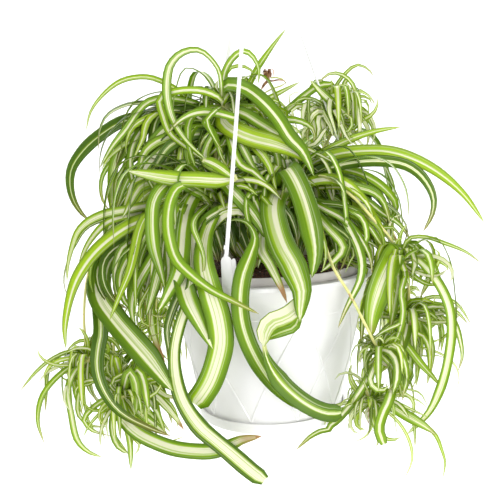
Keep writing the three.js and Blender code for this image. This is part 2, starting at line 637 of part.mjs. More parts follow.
// Plantlets: centre, leaves seen in front, and a rule for the others
const plantlets = {
  top_right: { at: seen([335, 118, -34]), leaves: 15, reach: [26, 44], rise: [12, 34], width: [5, 8],
    skip: [2, 4, 5, 10, 12, 14], roots: 2,
    seen: [[4, '', [[334, 91, -34], [346, 73, -32], [357, 65, -30], [368, 69, -28], [374, 77, -26]]],
      [5, '', [[352, 112, -26], [356, 97, -22], [351, 82, -20], [340, 74, -20], [329, 74, -22],
        [318, 83, -24]]],
      [3, '', [[350, 100, -40], [358, 90, -44], [368, 95, -46], [375, 103, -48]]],
      [6, '', [[329, 101, -18], [318, 90, -14], [308, 81, -12]]],
      [6, '', [[348, 108, -30], [364, 114, -28], [373, 128, -26], [374, 140, -24]]]] },
  right_upper: { at: seen([402, 262, 58]), leaves: 9, reach: [26, 50], rise: [10, 24], width: [6, 9],
    skip: [3, 8], roots: 3,
    seen: [[4, '', [[404, 246, 60], [410, 238, 62], [425, 237, 64], [444, 243, 64], [466, 252, 62],
      [481, 263, 60]]],
      [8, '', [[412, 246, 48], [424, 254, 44], [429, 276, 42], [420, 298, 42]]],
      [14, 'cream', [[393, 254, 68], [381, 268, 76], [369, 292, 82], [365, 318, 84], [371, 341, 84]]],
      [12, 'wide', [[414, 258, 66], [432, 272, 70], [448, 299, 72], [455, 328, 70], [451, 358, 66],
        [443, 386, 62], [430, 410, 60], [414, 427, 58], [405, 435, 57]]],
      [6, '', [[405, 275, 74], [401, 292, 80], [403, 310, 82], [400, 330, 82], [393, 346, 82],
        [385, 363, 80]]]] },
  right_mid: { at: seen([408, 315, 46]), leaves: 8, reach: [24, 44], rise: [8, 20], width: [5, 8],
    skip: [], roots: 3,
    seen: [[5, '', [[425, 304, 44], [445, 306, 42], [458, 313, 40], [468, 324, 38]]],
      [4, '', [[424, 299, 34], [440, 297, 30], [457, 304, 26], [471, 324, 24]]],
      [10, 'cream', [[424, 308, 54], [438, 311, 56], [453, 325, 56], [461, 347, 56], [457, 370, 54],
        [450, 384, 52]]],
      [12, 'wide', [[404, 330, 56], [401, 348, 60], [396, 370, 62], [396, 395, 62]]],
      [7, '', [[411, 332, 44], [411, 352, 42], [408, 379, 40], [402, 401, 40]]],
      [7, '', [[420, 328, 40], [429, 350, 36], [430, 368, 34], [427, 384, 32]]]] },
  right_low: { at: seen([380, 352, 92]), leaves: 9, reach: [16, 32], rise: [6, 16], width: [4, 7],
    skip: [4, 8], roots: 3,
    seen: [[8, '', [[373, 368, 98], [360, 391, 104], [346, 410, 106], [331, 425, 106], [311, 436, 104],
      [296, 450, 102]]]] },
  lower_right: { at: seen([371, 402, 72]), leaves: 5, reach: [14, 26], rise: [4, 10], width: [4, 6],
    skip: [], roots: 3,
    seen: [[11, 'blunt', [[383, 393, 68], [392, 388, 76], [390, 399, 84], [384, 414, 88], [379, 430, 88],
      [385, 444, 86]]],
      [13, 'wide', [[382, 405, 72], [398, 414, 74], [417, 424, 76], [433, 431, 76], [441, 448, 74],
        [444, 462, 72], [442, 478, 72]]],
      [3, 'pale', [[385, 410, 82], [400, 424, 86], [410, 443, 86], [412, 460, 84], [405, 478, 82]]]] },
  left: { at: seen([88, 360, 6]), leaves: 9, reach: [20, 42], rise: [8, 20], width: [4, 7],
    skip: [0, 8], roots: 3,
    seen: [[4, '', [[76, 351, 6], [57, 356, 4], [38, 370, 2], [20, 391, 0]]],
      [6, '', [[78, 362, 12], [56, 378, 14], [42, 397, 14], [38, 421, 12], [44, 443, 10]]],
      [6, '', [[77, 366, -2], [75, 378, -6], [76, 394, -8], [83, 416, -8]]],
      [7, 'wide', [[76, 370, 22], [68, 389, 24], [71, 412, 24], [78, 441, 24], [89, 452, 24],
        [102, 457, 22]]],
      [5, '', [[84, 378, 10], [78, 399, 6], [79, 415, 4], [90, 425, 2], [108, 427, 0]]]] },
  left_low: { at: seen([122, 396, 26]), leaves: 6, reach: [18, 34], rise: [6, 14], width: [4, 7],
    skip: [3], roots: 3,
    seen: [[5, '', [[116, 410, 22], [113, 432, 20], [128, 453, 18]]],
      [6, 'wide', [[124, 415, 32], [130, 444, 34], [131, 470, 34]]],
      [9, 'wide', [[129, 404, 20], [147, 419, 16], [168, 435, 12]]],
      [6, '', [[108, 398, 26], [95, 406, 28], [84, 420, 28], [92, 430, 28], [106, 435, 28]]]] },
  rear_left: { at: new THREE.Vector3(-128, 92, rimZ - 72), leaves: 11, reach: [30, 56], rise: [10, 24],
    width: [5, 9], skip: [9], roots: 3, seen: [] },
  rear_mid: { at: new THREE.Vector3(-14, 152, rimZ - 104), leaves: 11, reach: [30, 56], rise: [10, 24],
    width: [5, 9], skip: [], roots: 3, seen: [] },
  rear_right: { at: new THREE.Vector3(122, 96, rimZ - 58), leaves: 11, reach: [30, 56], rise: [10, 24],
    width: [5, 9], skip: [], roots: 3, seen: [] },
};

// Runners from a crown or plantlet to a plantlet, by the points between
const runners = {
  top_right: ['right', [[305, 172, 0], [322, 150, -20], [332, 132, -30]].map(seen)],
  right_upper: ['right', [[322, 176, 46], [358, 190, 52], [388, 222, 56]].map(seen)],
  right_mid: ['right', [[330, 184, 6], [378, 210, 10], [404, 262, 24], [409, 292, 38]].map(seen)],
  right_low: ['right', [[314, 206, 42], [322, 228, 68], [326, 247, 88], [334, 269, 106], [349, 293, 102],
    [362, 318, 98], [373, 340, 94]].map(seen)],
  left: ['left', [[175, 195, -16], [125, 215, -26], [92, 262, -24], [84, 315, -8]].map(seen)],
  left_low: ['left', [[182, 206, -4], [142, 230, -10], [116, 290, -4], [114, 350, 14]].map(seen)],
  rear_left: ['rear', [[-50, 88, 78], [-96, 110, 40], [-122, 106, -20]].map(fromRim)],
  rear_mid: ['rear', [[0, 92, 84], [-6, 134, 50], [-12, 152, -30]].map(fromRim)],
  rear_right: ['rear', [[50, 84, 74], [94, 104, 44], [118, 102, -10]].map(fromRim)],
  lower_right: ['plantlet_right_low', [[371, 372, 82], [366, 388, 70]].map(seen)],
};

// A dried flower on a thin stalk from the high crown
const dryFlower = {
  at: seen([268, 78, -26]),
  radius: 2.6,
  petals: 4,
  stalkRadius: 0.8,
  stalk: [[250, 100, -20], [272, 89, -28], [286, 83, -30], [280, 78, -28]].map(seen),
};

// A leaf that rises, arches out and hangs
function ruleLeaf(root, azimuth, reach, rise, droop, width) {
  const turn = THREE.MathUtils.degToRad(azimuth);
  const outward = new THREE.Vector3(Math.sin(turn), -Math.cos(turn), 0);
  const points = [];
  for (let step = 0; step <= 5; step += 1) {
    const share = step / 5;
    const point = root.clone().addScaledVector(outward, reach * (1 - (1 - share) ** 2));
    point.z += rise * (2 * (share / droop) - (share / droop) ** 2);
    points.push(point);
  }
  return { points, width, level: new THREE.Vector3(-outward.y, outward.x, 0), small: true };
}

function rosetteLeaves(rule, draw) {
  const leaves = [];
  for (let i = 0; i < rule.leaves; i += 1) {
    const span = rule.azimuth[1] - rule.azimuth[0];
    const azimuth = rule.azimuth[0] + (span * (i + draw([0.2, 0.8]))) / rule.leaves;
    leaves.push(ruleLeaf(crowns[rule.crown], azimuth, draw(rule.reach), draw(rule.rise),
      draw(rule.droop), draw(rule.width)));
  }
  return leaves.filter((_, i) => !rule.skip.includes(i));
}

function seenLeaf(root, width, style, route) {
  return {
    points: [root.clone(), ...route.map(seen)],
    width,
    facing: seenFacing.clone(),
    blunt: style === 'blunt',
    small: width < widestSmallLeaf && style !== 'blunt',
  };
}

function leafSegments(points) {
  const length = new THREE.CatmullRomCurve3(points, false, 'centripetal').getLength();
  return THREE.MathUtils.clamp(Math.round(length / segmentLength), 4, 10);
}

function tube(points, radius, sides, steps) {
  const section = new THREE.Shape();
  for (let side = 0; side < sides; side += 1) {
    const turn = (side / sides) * 2 * Math.PI;
    const [x, y] = [radius * Math.cos(turn), radius * Math.sin(turn)];
    if (side === 0) section.moveTo(x, y);
    else section.lineTo(x, y);
  }
  section.closePath();
  const extrudePath = new THREE.CatmullRomCurve3(points, false, 'centripetal');
  return solidFrom(new THREE.ExtrudeGeometry(section, { steps, extrudePath }));
}

function ball(centre, radius) {
  const sphere = new THREE.SphereGeometry(radius, 6, 4);
  sphere.translate(...centre.toArray());
  return solidFrom(sphere);
}

// A runner stops just short of the crown that hangs from it
function runnerSolid(from, between, to, crownRadius = plantletCrown, radius = runnerRadius) {
  const whole = new THREE.CatmullRomCurve3([from, ...between, to], false, 'centripetal');
  const reach = 1 - (crownRadius + runnerGap) / whole.getLength();
  const steps = Math.max(4, Math.round(whole.getLength() / runnerStep));
  const points = [];
  for (let i = 0; i <= steps; i += 1) points.push(clearOfPot(whole.getPointAt((reach * i) / steps), 3));
  return tube(points, radius, 4, steps);
}

function runnersOf(name, from) {
  return Object.entries(runners).filter(([, [crown]]) => crown === name)
    .map(([plantlet, [, between]]) => runnerSolid(from, between, plantlets[plantlet].at));
}

function motherPlant() {
  const draw = drawsFrom(seeds.mother);
  const stubBottom = holeFloorZ + seatGap;
  const solids = [prism(crownHole.radius - 1, 12, stubBottom, rimZ + 9)];
  Object.entries(crowns).forEach(([name, crown]) => {
    const foot = name === 'high' ? crowns.left : new THREE.Vector3(crown.x * 0.3, crown.y * 0.3, rimZ + 4);
    const middle = foot.clone().lerp(crown, 0.5);
    solids.push(tube([foot, middle, crown], name === 'high' ? 3 : 7, 6, 2));
    solids.push(ball(crown, name === 'high' ? 6 : 9));
  });
  Object.values(motherLeaves).forEach(([crown, width, style, route]) => {
    const leaf = seenLeaf(crowns[crown], width, style, route);
    solids.push(leafSolid(leaf, leafSegments(leaf.points)));
  });
  rosettes.forEach((rule) => {
    rosetteLeaves(rule, draw).forEach((leaf) => solids.push(leafSolid(leaf, rosetteSegments)));
  });
  Object.entries(crowns).forEach(([name, crown]) => solids.push(...runnersOf(name, crown)));
  const { at, radius, stalk, stalkRadius } = dryFlower;
  solids.push(runnerSolid(crowns.high, stalk, at, radius, stalkRadius));
  return fuse(solids);
}

function plantletSolid(name, rule, draw) {
  const solids = [ball(rule.at, plantletCrown), ...runnersOf(`plantlet_${name}`, rule.at)];
  rule.seen.forEach(([width, style, route]) => {
    const leaf = seenLeaf(rule.at, width, style, route);
    solids.push(leafSolid(leaf, Math.min(8, leafSegments(leaf.points))));
  });
  const first = draw([0, 360]);
  for (let i = 0; i < rule.leaves; i += 1) {
    const leaf = ruleLeaf(rule.at, first + i * goldenAngle, draw(rule.reach), draw(rule.rise),
      draw(plantletDroop), draw(rule.width));
    if (!rule.skip.includes(i)) solids.push(leafSolid(leaf, rule.reach[1] < 40 ? 3 : 4));
  }
  for (let i = 0; i < rule.roots; i += 1) {
    const turn = (i / mostRoots) * 2 * Math.PI + first;
    const tip = rule.at.clone().add(new THREE.Vector3(7 * Math.cos(turn), 7 * Math.sin(turn), -15));
    const middle = rule.at.clone().add(new THREE.Vector3(5 * Math.cos(turn), 5 * Math.sin(turn), -7));
    const root = tube([rule.at, middle, tip], 1.1, 3, 2);
    solids.push(root);
  }
  return fuse(solids);
}

function flowerSolid() {
  const solids = [ball(dryFlower.at, dryFlower.radius)];
  for (let i = 0; i < dryFlower.petals; i += 1) {
    const leaf = ruleLeaf(dryFlower.at, (i * 360) / dryFlower.petals, 7, 3.5, 0.4, 3.5);
    solids.push(leafSolid(leaf, 2));
  }
  return fuse(solids);
}

addPiece('mother_plant', motherPlant(), colours.leaf, 0.5);
addPiece('dry_flower', flowerSolid(), colours.dry, 0.8);
const plantletDraw = drawsFrom(seeds.plantlets);
Object.entries(plantlets).forEach(([name, rule]) => {
  addPiece(`plantlet_${name}`, plantletSolid(name, rule, plantletDraw), colours.plantlet, 0.5);
});

export default group;
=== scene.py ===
import math

import bmesh
import bpy
from mathutils import Matrix, Vector, noise


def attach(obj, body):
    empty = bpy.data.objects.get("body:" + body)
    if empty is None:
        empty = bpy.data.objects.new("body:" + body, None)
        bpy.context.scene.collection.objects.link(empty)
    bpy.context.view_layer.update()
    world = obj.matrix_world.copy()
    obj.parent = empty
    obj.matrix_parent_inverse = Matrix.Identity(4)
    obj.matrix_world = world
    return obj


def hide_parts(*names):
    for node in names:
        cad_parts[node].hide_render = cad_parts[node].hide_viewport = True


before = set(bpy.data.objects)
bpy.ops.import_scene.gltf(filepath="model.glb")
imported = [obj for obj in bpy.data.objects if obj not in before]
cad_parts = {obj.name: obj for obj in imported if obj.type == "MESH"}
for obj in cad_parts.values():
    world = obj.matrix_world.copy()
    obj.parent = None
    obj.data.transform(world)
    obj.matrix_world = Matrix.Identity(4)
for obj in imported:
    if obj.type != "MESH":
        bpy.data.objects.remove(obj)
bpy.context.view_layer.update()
print("frame loaded:", len(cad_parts), "nodes")

# Metres, +Z up, the front is -Y; the lists of leaves and profiles are in millimetres
mm = 0.001
rimZ = -0.381


def fromRim(x, y, z):
    return Vector((x * mm, y * mm, rimZ + z * mm))


# The camera stands where the front leaves were laid out from
view = {
    "eye": Vector((-0.0165, -0.8, rimZ + 0.141)),
    "focal": 800,  # in pixels of a 500 pixel picture
    "pitch": math.radians(8.7),
    "roll": math.radians(2.4),
    "pictureCentre": 250,
}


def viewAxes():
    pitch, roll = view["pitch"], view["roll"]
    right = Vector((1, 0, 0))
    up = Vector((0, math.sin(pitch), math.cos(pitch)))
    ahead = Vector((0, math.cos(pitch), -math.sin(pitch)))
    return right * math.cos(roll) - up * math.sin(roll), right * math.sin(roll) + up * math.cos(roll), ahead


def seen(px, py, toward):
    # the point that the eye sees at (px, py), toward mm in front of the pot's axis
    right, up, ahead = viewAxes()
    ray = (right * (px - view["pictureCentre"]) + up * (view["pictureCentre"] - py) + ahead * view["focal"])
    return view["eye"] + ray * ((-toward * mm - view["eye"].y) / ray.y)


def newObject(name, data):
    thing = bpy.data.objects.new(name, data)
    bpy.context.scene.collection.objects.link(thing)
    return thing


def addCamera():
    right, up, ahead = viewAxes()
    lens = bpy.data.cameras.new("photoCamera")
    lens.sensor_width = 36
    lens.lens = 36 * view["focal"] / (2 * view["pictureCentre"])
    lens.clip_end = 50
    camera = newObject("photoCamera", lens)
    camera.matrix_world = Matrix.Translation(view["eye"]) @ Matrix((right, up, -ahead)).transposed().to_4x4()
    bpy.context.scene.camera = camera


addCamera()

# Materials


def newMaterial(name):
    material = bpy.data.materials.new(name)
    material.use_nodes = True
    return material, material.node_tree, material.node_tree.nodes["Principled BSDF"]


def setInputs(tree, node, inputs):
    # inputs: socket name or number -> a value, or the output socket it takes
    for key, value in inputs.items():
        if isinstance(value, bpy.types.NodeSocket):
            tree.links.new(value, node.inputs[key])
        else:
            node.inputs[key].default_value = value


def addNode(tree, kind, settings=None, inputs=None):
    node = tree.nodes.new(kind)
    for key, value in (settings or {}).items():
        setattr(node, key, value)
    setInputs(tree, node, inputs or {})
    return node


def mathNode(tree, operation, first, second=0.0, third=0.0):
    node = addNode(tree, "ShaderNodeMath", {"operation": operation}, {0: first, 1: second, 2: third})
    return node.outputs[0]


def product(tree, first, second):
    return mathNode(tree, "MULTIPLY", first, second)


def mixColour(tree, share, first, second):
    return addNode(tree, "ShaderNodeMix", {"data_type": "RGBA"}, {0: share, 6: first, 7: second}).outputs[2]


def smoothStep(tree, value, low, high):
    return addNode(tree, "ShaderNodeMapRange", {"interpolation_type": "SMOOTHSTEP"},
                   {"Value": value, "From Min": low, "From Max": high}).outputs["Result"]


def placeOf(tree, x, y, z=0.0):
    return addNode(tree, "ShaderNodeCombineXYZ", None, {0: x, 1: y, 2: z}).outputs[0]


def attributeValue(tree, name):
    return addNode(tree, "ShaderNodeAttribute", {"attribute_name": name}).outputs["Fac"]


def noiseValue(tree, vector, scale, detail=2.0):
    return addNode(tree, "ShaderNodeTexNoise", None,
                   {"Vector": vector, "Scale": scale, "Detail": detail}).outputs["Fac"]


def objectPlace(tree):
    return addNode(tree, "ShaderNodeTexCoord").outputs["Object"]


def addBump(tree, principled, height, distance, strength=1.0):
    bump = addNode(tree, "ShaderNodeBump", None,
                   {"Height": height, "Distance": distance, "Strength": strength})
    tree.links.new(bump.outputs["Normal"], principled.inputs["Normal"])


# Moulded plastic: a fine grain, a soft uneven sheen and a little dust in clouds. The strand white is lighter
# than the pot white: painted light that offsets the shade the leaves cast on the strands and clips
plasticLook = {
    "white": (0.79, 0.79, 0.78, 1), "dusty": (0.74, 0.73, 0.71, 1), "strand": (0.83, 0.83, 0.82, 1),
    "inner": (0.56, 0.53, 0.51, 1), "innerDusty": (0.66, 0.63, 0.6, 1), "cloudScale": 22, "cloudDetail": 4,
    "dustStep": (0.5, 0.85), "sheenSway": 0.16, "specular": 0.45,
    "grainScale": 900, "grainDepth": 0.00005, "grainStrength": 0.5,
}


def plasticMaterial(name, clean, dusty, roughness):
    material, tree, principled = newMaterial(name)
    place = objectPlace(tree)
    cloud = noiseValue(tree, place, plasticLook["cloudScale"], plasticLook["cloudDetail"])
    grain = noiseValue(tree, place, plasticLook["grainScale"], 1)
    setInputs(tree, principled, {
        "Base Color": mixColour(tree, smoothStep(tree, cloud, *plasticLook["dustStep"]), clean, dusty),
        "Roughness": mathNode(tree, "MULTIPLY_ADD", cloud, plasticLook["sheenSway"], roughness),
        "Specular IOR Level": plasticLook["specular"]})
    addBump(tree, principled, grain, plasticLook["grainDepth"], plasticLook["grainStrength"])
    return material


whitePlastic = plasticMaterial("whitePlastic", plasticLook["white"], plasticLook["dusty"], 0.34)
# the strands' plastic: the pot's white plastic made lighter, painted light against the leaves' shade on them
strandPlasticPaintedLight = plasticMaterial("strandPlasticPaintedLight", plasticLook["strand"], plasticLook["strand"], 0.4)
innerPlastic = plasticMaterial("innerPlastic", plasticLook["inner"], plasticLook["innerDusty"], 0.5)

# Leaf: green margins, a cream stripe with fine green lines, read along (0 root, 1 tip) and across (-1 to 1).
# Lines: how many across, how quickly they change along, a shift. Step: where a mix starts and ends.
# Share: how strong it is. Sway: how far the lines move it.
leafLook = {
    "deepGreen": (0.032, 0.08, 0.001, 1), "midGreen": (0.165, 0.31, 0.005, 1),
    "limeGreen": (0.38, 0.54, 0.012, 1), "cream": (0.7, 0.71, 0.49, 1), "root": (0.66, 0.68, 0.3, 1),
    "brownTip": (0.3, 0.15, 0.07, 1), "broadLines": (2.6, 0.8, 3), "fineLines": (7, 0.9, 9),
    "veinLines": (20, 1.2, 15), "chanceShift": 40, "creamInset": 0.23, "creamSway": 0.5,
    "creamStep": (-0.04, 0.08), "fineStep": (0.5, 0.62), "fineShare": 0.7, "paleStep": (0.58, 0.7),
    "paleShare": 0.4, "rimStep": (0.95, 0.6), "midSway": 0.3, "midStep": (0.15, 0.65), "limeSway": 0.35,
    "limeStep": (0.6, 1.35), "tintShare": 0.22, "marginStep": (0.5, 0.95), "marginShare": 0.6,
    "besideStep": (-0.16, 0.02), "besideShare": 0.55, "rootStep": (0.12, 0), "tipSway": 0.04,
    "tipStep": (0.975, 1), "tipDryness": 2, "endSway": 0.06, "endStep": (0.86, 0.96), "roughness": 0.3,
    "roughSway": 0.14, "specular": 0.22, "glow": 0.15, "glowRadius": (0.7, 1.0, 0.15), "glowScale": 0.002,
    "veinDepth": 0.00025, "veinStrength": 0.6,
}


def leafMaterial(name, tint):
    material, tree, principled = newMaterial(name)
    across, along, stripe, tone, chance, dry = [
        attributeValue(tree, key) for key in ("across", "along", "stripe", "tone", "chance", "dry")]

    def linesAlong(density, stretch, shift):
        moved = product(tree, chance, leafLook["chanceShift"] + shift)
        place = placeOf(tree, mathNode(tree, "MULTIPLY_ADD", across, density, moved),
                        product(tree, along, stretch), shift)
        return noiseValue(tree, place, 1, 1)

    def swayed(lines, part, value):
        return mathNode(tree, "MULTIPLY_ADD", lines, leafLook[part + "Sway"], value)

    def stepped(value, part):
        step = smoothStep(tree, value, *leafLook[part + "Step"])
        if part + "Share" in leafLook:
            return product(tree, step, leafLook[part + "Share"])
        return step

    broad, fine, veins = [linesAlong(*leafLook[key]) for key in ("broadLines", "fineLines", "veinLines")]
    edge = mathNode(tree, "ABSOLUTE", across)
    limit = swayed(broad, "cream", mathNode(tree, "SUBTRACT", stripe, leafLook["creamInset"]))
    inside = mathNode(tree, "SUBTRACT", limit, edge)
    creamShare = product(tree, stepped(inside, "cream"),
                         mathNode(tree, "SUBTRACT", 1.0, stepped(fine, "fine")))
    paleLines = product(tree, stepped(fine, "pale"), stepped(edge, "rim"))
    creamShare = mathNode(tree, "MAXIMUM", creamShare, paleLines)
    # each leaf's tone, part real and part painted light and shade, moves its green from deep to mid and on to
    # lime
    green = mixColour(tree, stepped(swayed(veins, "mid", tone), "mid"),
                      leafLook["deepGreen"], leafLook["midGreen"])
    green = mixColour(tree, stepped(swayed(broad, "lime", tone), "lime"), green, leafLook["limeGreen"])
    green = mixColour(tree, leafLook["tintShare"], green, tint)
    green = mixColour(tree, stepped(edge, "margin"), green, leafLook["deepGreen"])
    green = mixColour(tree, stepped(inside, "beside"), green, leafLook["limeGreen"])  # pales at the stripe
    colour = mixColour(tree, creamShare, green, leafLook["cream"])
    colour = mixColour(tree, stepped(along, "root"), colour, leafLook["root"])
    brownTip = product(tree, stepped(swayed(broad, "tip", along), "tip"),
                       product(tree, dry, leafLook["tipDryness"]))
    brownEnd = product(tree, stepped(swayed(broad, "end", along), "end"), dry)
    brown = mathNode(tree, "MAXIMUM", brownTip, brownEnd)
    setInputs(tree, principled, {
        "Base Color": mixColour(tree, brown, colour, leafLook["brownTip"]),
        "Roughness": swayed(veins, "rough", leafLook["roughness"]),
        "Specular IOR Level": leafLook["specular"],
        "Subsurface Weight": leafLook["glow"], "Subsurface Radius": leafLook["glowRadius"],
        "Subsurface Scale": leafLook["glowScale"]})
    addBump(tree, principled, veins, leafLook["veinDepth"], leafLook["veinStrength"])
    return material


matureLeaf = leafMaterial("matureLeaf", (0.14, 0.26, 0.006, 1))
youngLeaf = leafMaterial("youngLeaf", (0.34, 0.48, 0.02, 1))

# Runners and the stems of the crowns: pale yellow and green in clouds, with a few brown spots
stemLook = {
    "pale": (0.72, 0.67, 0.27, 1), "green": (0.45, 0.52, 0.14, 1), "bruise": (0.36, 0.17, 0.05, 1),
    "cloudScale": 35, "cloudDetail": 3, "greenStep": (0.35, 0.65), "spotScale": 120,
    "bruiseStep": (0.62, 0.74), "bruiseShare": 0.7, "roughness": 0.45, "glow": 0.15,
    "glowRadius": (1.0, 0.8, 0.3), "glowScale": 0.0015, "spotDepth": 0.0002, "spotStrength": 0.4,
}


def stemMaterial():
    material, tree, principled = newMaterial("runnerSkin")
    place = objectPlace(tree)
    cloud = noiseValue(tree, place, stemLook["cloudScale"], stemLook["cloudDetail"])
    spots = noiseValue(tree, place, stemLook["spotScale"])
    greener = smoothStep(tree, cloud, *stemLook["greenStep"])
    colour = mixColour(tree, greener, stemLook["pale"], stemLook["green"])
    bruised = product(tree, smoothStep(tree, spots, *stemLook["bruiseStep"]), stemLook["bruiseShare"])
    setInputs(tree, principled, {
        "Base Color": mixColour(tree, bruised, colour, stemLook["bruise"]),
        "Roughness": stemLook["roughness"],
        "Subsurface Weight": stemLook["glow"], "Subsurface Radius": stemLook["glowRadius"],
        "Subsurface Scale": stemLook["glowScale"]})
    addBump(tree, principled, spots, stemLook["spotDepth"], stemLook["spotStrength"])
    return material


# Roots, dried petals, peat, bark and white grains: a dark and a light colour in clumps
earthLook = {"detail": 6, "lightStep": (0.35, 0.68)}


def earthMaterial(name, dark, light, scale, roughness, depth):
    material, tree, principled = newMaterial(name)
    clumps = noiseValue(tree, objectPlace(tree), scale, earthLook["detail"])
    setInputs(tree, principled, {
        "Base Color": mixColour(tree, smoothStep(tree, clumps, *earthLook["lightStep"]), dark, light),
        "Roughness": roughness})
    addBump(tree, principled, clumps, depth)
    return material


runnerSkin = stemMaterial()
rootSkin = earthMaterial("rootSkin", (0.3, 0.17, 0.07, 1), (0.62, 0.5, 0.28, 1), 300, 0.7, 0.0004)
dryPetal = earthMaterial("dryPetal", (0.16, 0.06, 0.03, 1), (0.5, 0.27, 0.12, 1), 260, 0.75, 0.0004)
peat = earthMaterial("peat", (0.008, 0.005, 0.004, 1), (0.055, 0.03, 0.018, 1), 240, 0.95, 0.002)
bark = earthMaterial("bark", (0.03, 0.011, 0.007, 1), (0.17, 0.06, 0.032, 1), 500, 0.85, 0.001)
whiteGrain = earthMaterial("whiteGrain", (0.55, 0.52, 0.46, 1), (0.8, 0.78, 0.74, 1), 700, 0.85, 0.0005)
print("materials made")

# Leaves: midribs listed one by one or made by rule, which one Geometry Nodes tree turns into blades

foliage = {
    "seenFacing": Vector((0, -1, 0.3)).normalized(), "facingPull": 4, "step": 6.5, "leastSteps": 8,
    "mostSteps": 44, "curveSteps": 16, "sectionPoints": 12, "fillSectionPoints": 8, "channelDepth": 0.26,
    "channelPower": 1.25, "bladeThickness": 0.05, "waveHeight": 0.07, "waveLength": (34, 60),
    "leastHalfWidth": 0.12, "bluntEnd": 0.6, "tipPower": 0.6, "potGap": 4, "potGapShare": 0.25,
    "stripeSpread": (-0.08, 0.08), "toneSpread": (-0.16, 0.16), "runnerSides": 8, "runnerRadius": 1.4,
    "runnerGap": 0.2, "runnerStep": 6, "runnerMargin": 3, "plantletCrown": 5, "plantletDroop": (0.31, 0.42),
    "wavePhase": 23, "waveShift": 1.1, "smallTwist": (-0.7, 0.7), "longTwist": (-0.2, 0.2), "roots": 3,
    "tubeFacing": Vector((0.2, 0.1, 1)).normalized(), "rosetteShare": (0.2, 0.8),
    "goldenAngle": 137.5, "motherSeed": 1207, "plantletSeed": 4211, "looksSeed": 77, "fillSeed": 905,
}

# width of the cream stripe and tone of the green for each style of leaf. The tone is partly painted light and
# shade: the dark 'under' tone paints shade on leaves that lie in shadow, the light 'bright' and 'buttery'
# tones paint light on lit leaves and against shade
leafStyles = {
    "": (0.22, 0.45), "under": (0.12, 0.1), "pale": (0.36, 0.85), "wide": (0.27, 0.35), "cream": (0.38, 0.45),
    "bright": (0.22, 0.9), "lime": (0.16, 0.7), "dry": (0.6, 0.7), "blunt": (0.24, 0.4), "cut": (0.5, 0.15),
    "milky": (0.66, 0.6), "fresh": (0.24, 0.75), "deep": (0.2, 0.32), "strap": (0.4, 0.5),
    "late": (0.08, 0.12), "underside": (0.78, 0.75), "plain": (0.06, 0.5), "turned": (0.17, 0.2),
    "loop": (0.28, 0.6), "sweep": (0.4, 0.3), "broad": (0.3, 0.12), "buttery": (0.4, 1),
}
# how wide the root is, and where along the blade it starts and ends to widen to the full width
widening = {"late": (0.3, 0.3, 0.45), "cut": (0.6, 0.5, 0.74), "turned": (0.2, 0.04, 0.32),
            "loop": (0.5, 0.25, 0.5), "strap": (0.45, 0.1, 0.55), "broad": (0.5, 0.3, 0.52),
            "other": (0.36, 0, 0.18)}
bluntStyles = ("blunt", "cut", "strap", "turned")
# over which share of the blade, up to its tip, it narrows
tapers = {"wide": 0.26, "cream": 0.26, "deep": 0.26, "late": 0.26, "sweep": 0.26, "underside": 0.26,
          "broad": 0.13, "other": 0.38}
# how brown and dry the tip is
dryTips = {"dry": 1, "sweep": 0.7, "": 0.25, "under": 0.25}


def drawsFrom(seed):
    # the same draws every time, between low and high
    state, factor, modulus = seed, 16807, 2 ** 31 - 1

    def draw(span):
        nonlocal state
        state = state * factor % modulus
        return span[0] + (span[1] - span[0]) * state / modulus

    return draw


def pick(styles, draw):
    return styles[int(draw((0, len(styles) - 0.01)))]


looksDraw = drawsFrom(foliage["looksSeed"])


def curvePoint(points, segment, t):
    # a smooth curve through all the points, with even tangents and mirrored ends
    p1, p2 = points[segment], points[segment + 1]
    p0 = points[segment - 1] if segment else p1 * 2 - p2
    p3 = points[segment + 2] if segment + 2 < len(points) else p2 * 2 - p1
    d0, d1, d2 = [max((b - a).length, 1e-6) ** 0.5 for a, b in ((p0, p1), (p1, p2), (p2, p3))]
    t1 = ((p1 - p0) / d0 - (p2 - p0) / (d0 + d1) + (p2 - p1) / d1) * d1
    t2 = ((p2 - p1) / d1 - (p3 - p1) / (d1 + d2) + (p3 - p2) / d2) * d1
    c2 = p1 * -3 + p2 * 3 - t1 * 2 - t2
    c3 = p1 * 2 - p2 * 2 + t1 + t2
    return p1 + t1 * t + c2 * t * t + c3 * t * t * t


def evenPath(points, count, reach=1.0):
    # count + 1 points at even distances along the curve, over a share of its length
    steps = foliage["curveSteps"]
    dense = [curvePoint(points, i, k / steps) for i in range(len(points) - 1) for k in range(steps)]
    dense.append(points[-1])
    lengths = [0.0]
    for a, b in zip(dense, dense[1:]):
        lengths.append(lengths[-1] + (b - a).length)
    path, at = [], 0
    for i in range(count + 1):
        want = lengths[-1] * reach * i / count
        while at < len(dense) - 2 and lengths[at + 1] < want:
            at += 1
        part = (want - lengths[at]) / max(lengths[at + 1] - lengths[at], 1e-9)
        path.append(dense[at].lerp(dense[at + 1], min(max(part, 0.0), 1.0)))
    return path, lengths[-1]


def tangentsOf(path):
    ends = [(path[max(i - 1, 0)], path[min(i + 1, len(path) - 1)]) for i in range(len(path))]
    return [(b - a).normalized() for a, b in ends]


# the outline of what stands under the leaves: height from the rim, radius
potOutline = [(-160, 0), (-150, 76), (-138, 76), (-33, 96), (-5, 104), (-4, 111), (12, 111)]
potMouth = {"radius": 88, "floor": -30}  # a leaf inside it goes up over the rim


def clearOfPot(point, margin):
    height = (point.z - rimZ) / mm
    radius = math.hypot(point.x, point.y) / mm
    bottom, top = potOutline[0][0], potOutline[-1][0]
    if height > top or height < bottom:
        return point
    for (z0, r0), (z1, r1) in zip(potOutline, potOutline[1:]):
        if height <= z1:
            wall = r0 + (r1 - r0) * (height - z0) / (z1 - z0)
            break
    if wall <= 0 or radius >= wall + margin:
        return point
    if radius < potMouth["radius"] and height > potMouth["floor"]:
        return Vector((point.x, point.y, rimZ + (top + margin) * mm))
    push = (wall + margin) / max(radius, 1)
    return Vector((point.x * push, point.y * push, point.z))


